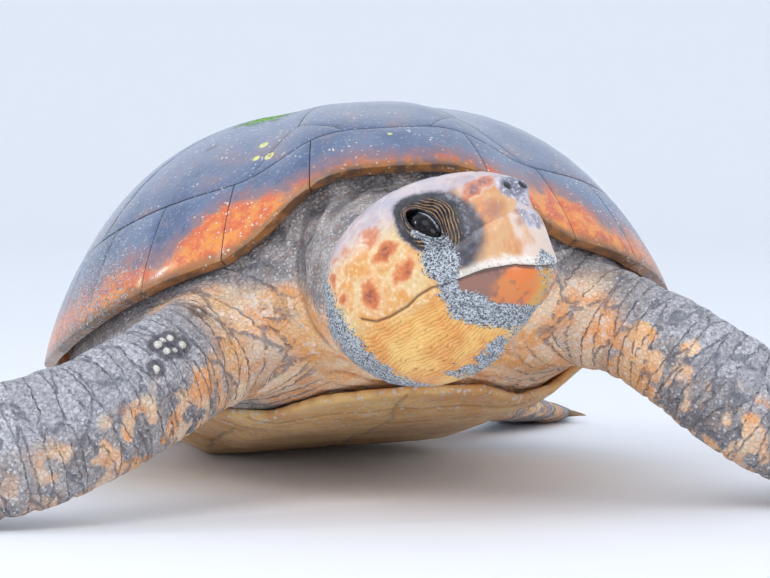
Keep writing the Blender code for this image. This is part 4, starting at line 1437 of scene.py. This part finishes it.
def skin_paint():
    """Face and hide in one material, mixed by the mask of the head, with sand over both."""
    paint = Paint("living_skin", "skin", ior=1.42, coat_roughness=0.25)
    head, dark, crease, warm, pearl, sand = (
        paint.kept(key) for key in ("head", "dark", "crease", "warm", "pearl", "sand"))
    fine, small = paint.noise(0.0045, 3), paint.noise(0.011, 3)
    pebble = paint.cells(0.0062, "DISTANCE_TO_EDGE")
    blocks = paint.spread(paint.kept("length") + small * 0.010, paint.kept("width") * 0.24, 0.0)
    crack = paint.cells(0.016, "DISTANCE_TO_EDGE", blocks).rising(0.075, 0.01)
    crack = crack * paint.kept("limb") * (1 - head) * small.rising(0.34, 0.50)
    groove = crease * (0.85 + 0.3 * small)
    shade = paint.layered((58, 58, 66), (warm, (150, 100, 72)), (head, (104, 66, 44)))
    grains, lumps, cover = sand_grains(paint, sand)
    colour = paint.layered(
        hide_colour(paint, small, crack, blocks),
        (head, face_colour(paint, fine, small)),
        # painted shade: near black inside the nostrils
        (paint.kept("pit"), (22, 24, 34)),
        # painted shade: creases and folds darkened, and near black where they cross the dark patch
        # round the eye
        (groove.rising(0.25, 0.95) * 0.75, shade),
        (groove.rising(0.3, 0.9) * dark, (22, 21, 24)),
        (pearl, (224, 220, 210)),
        (cover, grains),
    )
    rough = 0.42 + 0.18 * small - 0.12 * head + 0.45 * cover
    normal = paint.relief(
        (pebble.rising(0.0, 0.25) * (1 - head) * (1 - pearl), 0.0007),
        (fine * (1 - 0.75 * head), 0.0012),
        (1 - crack, 0.0012),
        (lumps * cover, 0.0016),
    )
    coat = head * 0.35 * (1 - cover)
    return paint.finish(base_color=colour, roughness=rough, coat_weight=coat, normal=normal)


def horn_paint(name, slot, rim):
    """Glossy wet horn: slate over the dome, partly painted reflection of the sky, with an orange
    band and mottles at the rim.
    """
    paint = Paint(name, slot, ior=1.5, coat_roughness=0.16)
    seam, outward, sand = (paint.kept(key) for key in ("seam", "outward", "sand"))
    fine, small, broad = paint.noise(0.0045, 3), paint.noise(0.016, 4), paint.noise(0.075, 4)
    streak = paint.noise(0.020, 3, paint.stretched(1.0, 0.25, 1.0))
    # blue slate: partly the horn's own dark colour and partly painted reflection of the sky on the
    # wet horn
    horn = paint.layered(
        (62, 84, 122),
        (broad.rising(0.32, 0.66), (98, 116, 148)),
        (streak.rising(0.54, 0.72) * 0.40, (118, 106, 116)),
        ((small * 0.6 + broad * 0.4).rising(0.43, 0.33) * 0.6, (46, 54, 76)),
        (fine.rising(0.54, 0.68) * 0.35, (148, 160, 182)),
    )
    if rim:
        band = paint.kept("band") + (small - 0.5) * 0.45 + (broad - 0.5) * 0.35
        glow = paint.layered(
            (228, 140, 54),
            (small.rising(0.40, 0.60), (214, 98, 46)),
            (fine.rising(0.54, 0.70) * 0.45, (240, 176, 100)),
            (small.rising(0.60, 0.72) * 0.5, (170, 84, 56)),
        )
        horn = paint.layered(
            horn,
            (band.rising(0.18, 0.50) * 0.75, (148, 104, 100)),
            (band.rising(0.44, 0.62), glow),
            ((outward + (small - 0.5) * 0.02).rising(0.984, 0.998) * 0.85,
             paint.mix(small.rising(0.4, 0.6), (62, 54, 44), (150, 104, 50))),
        )
    else:
        warmed = outward.rising(0.60, 0.88) * broad.rising(0.48, 0.64) * 0.55
        horn = paint.mix(warmed, horn, (134, 98, 92))
    specks = paint.random(0.0022).rising(0.955, 0.975)
    specks = specks * (small * 0.5 + broad * 0.5).rising(0.46, 0.60)
    horn = paint.layered(
        horn,
        (seam.rising(0.05, 0.0) * 0.25, (58, 54, 60)),
        (specks * 0.9, (226, 226, 218)),
    )
    crust = None
    for place, size in CRUSTS:
        spot = (paint.away(place) + (fine - 0.5) * 0.003) * (1 / size)
        pale = paint.mix(spot.rising(0.25, 0.60), (150, 150, 96), (226, 224, 152))
        horn = paint.mix(spot.rising(1.15, 0.85), horn, pale)
        raised = spot.rising(1.15, 0.70)
        crust = crust.most(raised) if crust else raised
    tuft = paint.noise(0.006, 3)
    moss = (paint.away(MOSS) + (small - 0.5) * 0.060 + (tuft - 0.5) * 0.045).rising(0.042, 0.022)
    green = paint.layered(
        (78, 128, 46),
        (tuft.rising(0.40, 0.62), (152, 208, 84)),
        (fine.rising(0.56, 0.68) * 0.6, (116, 118, 84)),
    )
    scrape = (paint.away(SCRAPE) + (small - 0.5) * 0.040).rising(0.010, 0.004)
    grains, lumps, cover = sand_grains(paint, sand)
    horn = paint.layered(horn, (moss * 0.9, green), (scrape * 0.8, (70, 56, 74)), (cover, grains))
    matt = cover.most(crust).most(moss)
    rough = 0.30 + 0.14 * small + 0.5 * matt
    normal = paint.relief((broad, 0.0012), (fine, 0.00025), (specks, 0.0005), (crust, 0.0015),
                          (moss * tuft, 0.0060), (lumps * cover, 0.0014))
    gloss = 0.55 if rim else 0.8
    coat = gloss - gloss * matt
    return paint.finish(base_color=horn, roughness=rough, coat_weight=coat, normal=normal)


def plastron_paint():
    """Pale yellow horn with darker seams and specks of sand."""
    paint = Paint("plastron_horn", "plastron", coat_weight=0.25, coat_roughness=0.3)
    small, broad = paint.noise(0.012, 4), paint.noise(0.06, 3)
    specks = paint.random(0.004).rising(0.86, 0.93)
    horn = paint.layered(
        (226, 186, 122),
        (broad.rising(0.35, 0.65), (206, 152, 90)),
        (small.rising(0.50, 0.70) * 0.5, (176, 130, 90)),
        (paint.kept("seam") * 0.6, (132, 96, 62)),
        (specks * 0.7, (208, 208, 208)),
    )
    normal = paint.relief((small, 0.0010), (specks, 0.0006))
    return paint.finish(base_color=horn, roughness=0.40 + 0.25 * small, normal=normal)


def beak_paint(name, upper):
    """Wet horn: pale at the upper sheath's edge, amber on the lower with a painted shadow along its
    top edge, with clinging sand.
    """
    paint = Paint(name, "beak", ior=1.5, coat_roughness=0.18, coat_weight=0.5)
    edge, front, sand = (paint.kept(key) for key in ("edge", "front", "sand"))
    fine, small, broad = paint.noise(0.003, 3), paint.noise(0.010, 3), paint.noise(0.030, 3)
    if upper:
        pale = (edge + (small - 0.5) * 0.7).rising(0.22, 0.80) * 0.9
        white = paint.mix(fine.rising(0.50, 0.70), (238, 230, 218), (202, 190, 186))
        horn = with_smears(paint, paint.mix(pale, snout_horn(paint), white))
    else:
        horn = paint.layered(
            (224, 118, 46),
            (broad.rising(0.4, 0.6), (212, 130, 66)),
            ((paint.kept("rear") + (small - 0.5) * 0.6).rising(0.35, 0.85), (146, 100, 84)),
            (front.rising(0.35, 0.85), (208, 154, 66)),
            (small.rising(0.58, 0.72) * 0.5, (118, 78, 70)),
            # painted shadow: a dark line along the lower sheath's top edge, under the upper one
            ((edge + (small - 0.5) * 0.2).rising(0.80, 0.98) * 0.85, (70, 48, 42)),
        )
    grains, lumps, cover = sand_grains(paint, sand)
    horn = paint.mix(cover, horn, grains)
    rough = 0.30 + 0.2 * small + 0.4 * cover
    normal = paint.relief((small, 0.0006), (fine, 0.0002), (lumps * cover, 0.0014))
    return paint.finish(base_color=horn, roughness=rough, normal=normal)


def eye_paint():
    """Wet near-black, with a trace of the iris and a painted highlight, a bright line of tears."""
    paint = Paint("eye_ball", "eye", roughness=0.04, ior=1.36, specular_ior_level=0.4)
    small = paint.noise(0.004, 2)
    colour = paint.layered(
        (6, 7, 12),
        (small.rising(0.4, 0.7), (16, 17, 28)),
        (paint.kept("iris") * small.rising(0.3, 0.6), (44, 36, 36)),
        # painted highlight: a bright wet line along the lid's edge
        (paint.kept("painted_tear_highlight"), (214, 220, 232)),
    )
    return paint.finish(base_color=colour)


def claw_paint():
    paint = Paint("claw_horn", "claw", coat_weight=0.3, coat_roughness=0.25)
    small = paint.noise(0.004, 3)
    horn = paint.layered(
        (104, 78, 58),
        (paint.kept("tip"), (176, 142, 98)),
        (small.rising(0.5, 0.7) * 0.4, (70, 52, 42)),
    )
    return paint.finish(base_color=horn, roughness=0.35 + 0.2 * small)


# ---------------------------------------------------------------- beak, eyes, claws, plastron

# The sheaths' side outlines; each runs a little way under the skin behind it.
UPPER_CUT = ((-0.05, 0.0705), (-0.05, MOUTH[0][1]), *MOUTH, (0.095, 0.033), (0.032, 0.0545))
LOWER_CUT = ((-0.05, -0.034), (0.036, -0.0345), (0.080, -0.014), MOUTH[-1], *MOUTH[-2::-1],
             (-0.05, MOUTH[0][1]))
# The same regions without their cutting edges.
UPPER_REAR = ((-0.05, 0.066), (-0.05, -0.1), (0.094, -0.1), (0.090, 0.030), (0.030, 0.050))
LOWER_REAR = ((-0.05, -0.030), (0.035, -0.030), (0.075, -0.012), (0.092, 0.1), (-0.05, 0.1))


def depth_within(flat, outline):
    """Distance inside a closed outline, negative outside it."""
    inside = np.zeros(len(flat), dtype=bool)
    closed = (*outline, outline[0])
    for (a, b), (c, d) in zip(closed, closed[1:]):
        if b != d:
            crossing = a + (flat[:, 1] - b) * (c - a) / (d - b)
            inside ^= ((flat[:, 1] > b) != (flat[:, 1] > d)) & (flat[:, 0] < crossing)
    away = line_distance(flat, closed)
    return np.where(inside, away, -away)


def side_block(name, outline):
    """A slab across the head with the outline of one beak."""
    return drawn_out(name, [[HEAD @ Vector((x, *spot)) for spot in outline]
                            for x in (-0.13, 0.13)], 0)


def make_beak(name, outline, rear, stand, paint):
    """One horny sheath: the head's form, a little proud at the cutting edge, within an outline."""
    beak = make_head_form()
    beak.name = beak.data.name = name + "_sheath"
    cutter = side_block(name + "_outline", outline)
    finished(beak, "BOOLEAN", operation="INTERSECT", object=cutter, solver="EXACT")
    bpy.data.objects.remove(cutter)
    finished(beak, "REMESH", mode="VOXEL", voxel_size=BEAK_CELL, adaptivity=0)
    relax(beak, 1.0, 6)
    points, normals = points_of(beak), normals_of(beak)
    local = placed(HEAD.inverted(), points)
    side = local[:, 1:]
    bite = line_distance(side, MOUTH)
    outer = turned(HEAD.inverted(), normals)
    outer = np.abs(outer[:, 0]) + np.maximum(-outer[:, 1], 0)
    swell = stand * hump(bite, 0.012) - 0.0016 * (1 - step(-0.003, 0.006, depth_within(side, rear)))
    points += normals * (swell * np.clip(outer, 0, 1))[:, None]
    move_points(beak, points)
    store(beak, "edge", hump(bite, 0.0100))
    store(beak, "front", np.clip(1 - np.abs(local[:, 0]) / 0.03, 0, 1))
    store(beak, "rear", step(0.022, 0.060, local[:, 1] + 1.1 * (local[:, 2] + 0.012)))
    store(beak, "sand", head_sand(local))
    snout_masks(beak, local)
    smooth_shaded(beak)
    paint.on(beak)
    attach(beak, "root")
    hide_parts(name)


def eye_axes(side):
    """An eye's middle, its way out, and the long and short ways across its opening."""
    centre = np.array([EYE_AT.x * side, EYE_AT.y, EYE_AT.z])
    out = np.array([EYE_OUT.x * side, EYE_OUT.y, EYE_OUT.z])
    back = np.array([0, 1.0, 0])
    back -= out * (back @ out)
    back /= np.linalg.norm(back)
    up = np.array([0, 0, 1.0])
    up -= out * (up @ out) + back * (up @ back)
    up /= np.linalg.norm(up)
    long = back * math.cos(EYE_TILT) + up * math.sin(EYE_TILT)
    short = up * math.cos(EYE_TILT) - back * math.sin(EYE_TILT)
    return centre, out, long, short


def make_eye(side, sign, paint):
    """An eyeball drawn out along the lids' opening, with a bulging front."""
    centre, out, long, short = eye_axes(sign)
    deselect()
    bpy.ops.mesh.primitive_uv_sphere_add(segments=72, ring_count=48, radius=EYE_RADIUS,
                                         location=HEAD @ Vector(centre))
    eye = bpy.context.object
    eye.name = eye.data.name = "eye_ball_" + side
    alone(eye)
    bpy.ops.object.transform_apply(location=True, rotation=True, scale=True)
    local = placed(HEAD.inverted(), points_of(eye))
    offset = local - centre
    local += np.outer(offset @ long * (EYE_STRETCH - 1), long)
    offset = local - centre
    bulge = np.clip(offset @ out / EYE_RADIUS, 0, 1)
    local += (EYE_BULGE * bulge**6)[:, None] * out
    move_points(eye, placed(HEAD, local))
    a, b = offset @ long, offset @ short
    ring = eye_ring(a, b)
    ahead = step(0.002, 0.008, b) * step(0.016, 0.010, a) * step(-0.024, -0.016, a)
    # painted highlight: a thin bright crescent along the upper edge of the opening
    store(eye, "painted_tear_highlight", hump(ring - 0.84, 0.045) * ahead * (bulge > 0.2))
    store(eye, "iris", hump(np.hypot(a, b) - 0.0085, 0.0022) * (bulge > 0.3))
    smooth_shaded(eye)
    paint.on(eye)
    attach(eye, "root")
    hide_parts("eye_" + side)


def make_claw(name, station, aim, size, paint):
    """A short nail that curves down and tapers, rooted in a flipper's leading edge."""
    point, chord, _, lead = station
    aim = Vector(aim).normalized()
    base = Vector(point) + MIDDLE + Vector(lead).normalized() * chord * 0.62
    across = Vector((-aim.y, aim.x, 0)).normalized()
    reach = size * 4 + chord * 0.16
    turns = [math.pi * k / 5 for k in range(10)]
    rings = []
    for share in (0.0, 0.15, 0.4, 0.65, 0.85, 0.96, 1.0):
        centre = base + aim * reach * share + Vector((0, 0, -0.9 * size * share * share))
        half = size * 1.25 * (1 - 0.90 * share**1.5)
        rings.append([centre + half * (across * math.cos(t) + Vector((0, 0, math.sin(t))))
                      for t in turns])
    nail = drawn_out(name + "_nail", rings, 2)
    local = points_of(nail)
    store(nail, "tip", ((local - np.array(base)) @ np.array(aim)) / reach)
    smooth_shaded(nail)
    paint.on(nail)
    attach(nail, "root")
    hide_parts(name)


def make_plastron(paint):
    """The belly plate, rounded from its solid, with the seams of its twelve shields."""
    source = bpy.data.objects["plastron"]
    plate = source.copy()
    plate.data = source.data.copy()
    plate.name = plate.data.name = "belly_plate"
    for key in list(plate.keys()):
        del plate[key]
    bpy.context.scene.collection.objects.link(plate)
    alone(plate)
    bpy.ops.object.mode_set(mode="EDIT")
    bpy.ops.mesh.select_all(action="SELECT")
    bpy.ops.mesh.remove_doubles(threshold=0.00002)
    bpy.ops.object.mode_set(mode="OBJECT")
    finished(plate, "REMESH", mode="VOXEL", voxel_size=PLASTRON_CELL, adaptivity=0)
    relax(plate, 1.0, 8)
    points = points_of(plate)
    body = placed(BODY.inverted(), points)
    plan = folded(body)[:, :2]
    away = np.abs(body[:, 0] + 0.004 * np.sin(body[:, 1] * 40))
    lines = [[(x, y + slope * x + 0.006 * math.sin(x * 60)) for x in np.linspace(0, 0.21, 9)]
             for y, slope in PLASTRON_SEAMS]
    for line in (*lines, BRIDGE_SEAM):
        away = np.minimum(away, line_distance(plan, line))
    under = step(0.2, 0.6, -normals_of(plate)[:, 2])
    seam = hump(away, 0.0032) * under
    points += normals_of(plate) * (-0.0015 * seam)[:, None]
    points[:, 2] = np.maximum(points[:, 2], 0)
    move_points(plate, points)
    store(plate, "seam", seam)
    smooth_shaded(plate)
    paint.on(plate)
    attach(plate, "root")
    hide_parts("plastron")


# ---------------------------------------------------------------- camera, floor and light


def make_camera():
    """The photo's camera."""
    camera = bpy.data.objects.new("camera", bpy.data.cameras.new("camera"))
    bpy.context.scene.collection.objects.link(camera)
    level = math.cos(CAMERA_RISE)
    back = Vector((math.sin(CAMERA_TURN) * level, -math.cos(CAMERA_TURN) * level,
                   math.sin(CAMERA_RISE)))
    camera.rotation_mode = "QUATERNION"
    camera.rotation_quaternion = (-back).to_track_quat("-Z", "Y")
    camera.location = CAMERA_AT
    camera.data.sensor_width = 36
    camera.data.lens = CAMERA_LENS
    camera.data.clip_start = 0.05
    camera.data.clip_end = 60
    bpy.context.scene.camera = camera


def make_stage():
    """A round pale floor whose edge sweeps up on all sides, far from the model."""
    deselect()
    bpy.ops.mesh.primitive_circle_add(vertices=128, radius=FLOOR_RADIUS, fill_type="NGON",
                                      location=(0, 0, 0))
    floor = bpy.context.object
    floor.name = "floor"
    bpy.ops.object.mode_set(mode="EDIT")
    bpy.ops.mesh.select_mode(type="EDGE")
    bpy.ops.mesh.select_all(action="SELECT")
    radius, height = FLOOR_RADIUS, 0
    for i in range(1, FLOOR_STEPS + 1):
        turn = math.pi / 2 * min(i / FLOOR_ARC_STEPS, 1)
        wide = FLOOR_RADIUS + FLOOR_SWEEP * math.sin(turn)
        high = FLOOR_SWEEP * (1 - math.cos(turn)) + max(i - FLOOR_ARC_STEPS, 0)
        bpy.ops.mesh.extrude_edges_move(TRANSFORM_OT_translate={"value": (0, 0, high - height)})
        bpy.ops.transform.resize(value=(wide / radius, wide / radius, 1),
                                 center_override=(0, 0, high))
        radius, height = wide, high
    bpy.ops.mesh.select_all(action="SELECT")
    bpy.ops.mesh.normals_make_consistent(inside=True)
    bpy.ops.object.mode_set(mode="OBJECT")
    smooth_shaded(floor)
    paint = bpy.data.materials.new("floor_paint")
    paint.use_nodes = True
    shader = next(n for n in paint.node_tree.nodes if n.type == "BSDF_PRINCIPLED")
    shader.inputs["Base Color"].default_value = tone(240, 242, 246)
    shader.inputs["Roughness"].default_value = 0.9
    floor.data.materials.append(paint)


def make_light():
    """A pale overcast sky, with soft lamps and one that the eye and shell mirror."""
    world = bpy.context.scene.world or bpy.data.worlds.new("studio")
    bpy.context.scene.world = world
    world.use_nodes = True
    background = world.node_tree.nodes["Background"]
    background.inputs["Color"].default_value = tone(226, 232, 241)
    background.inputs["Strength"].default_value = 1.22
    for name, place, width, height, power in LIGHTS:
        lamp = bpy.data.lights.new(name, "AREA")
        lamp.shape = "RECTANGLE" if height > width else "DISK"
        lamp.size = width
        lamp.size_y = height
        lamp.energy = power
        light = bpy.data.objects.new(name, lamp)
        bpy.context.scene.collection.objects.link(light)
        light.location = place
        light.rotation_mode = "QUATERNION"
        light.rotation_quaternion = (LIGHTS_AIM - light.location).to_track_quat("-Z", "Y")
    bpy.context.scene.view_settings.view_transform = "Standard"


# ---------------------------------------------------------------- putting it together

make_skin(skin_paint())
rim_horn = horn_paint("rim_horn", "shell_rim", True)
dome_horn = horn_paint("dome_horn", "shell_dark", False)
for name, sides in plate_sides().items():
    make_plate(name, sides, rim_horn if name.startswith(("marginal", "nuchal")) else dome_horn)
make_plastron(plastron_paint())
make_beak("beak_upper", UPPER_CUT, UPPER_REAR, UPPER_STAND, beak_paint("upper_sheath", True))
make_beak("beak_lower", LOWER_CUT, LOWER_REAR, LOWER_STAND, beak_paint("lower_sheath", False))
wet_black, nail_horn = eye_paint(), claw_paint()
for side, sign, fore in (("left", 1, FORE_LEFT), ("right", -1, FORE_RIGHT)):
    make_eye(side, sign, wet_black)
    make_claw("claw_fore_" + side, fore[6], (sign * 0.8, -0.75, 0.1), FORE_CLAW, nail_horn)
    hind = HIND if sign > 0 else opposite(HIND)
    make_claw("claw_hind_" + side, hind[3], (sign * 0.9, -0.3, 0.05), HIND_CLAW, nail_horn)
make_camera()
make_stage()
make_light()
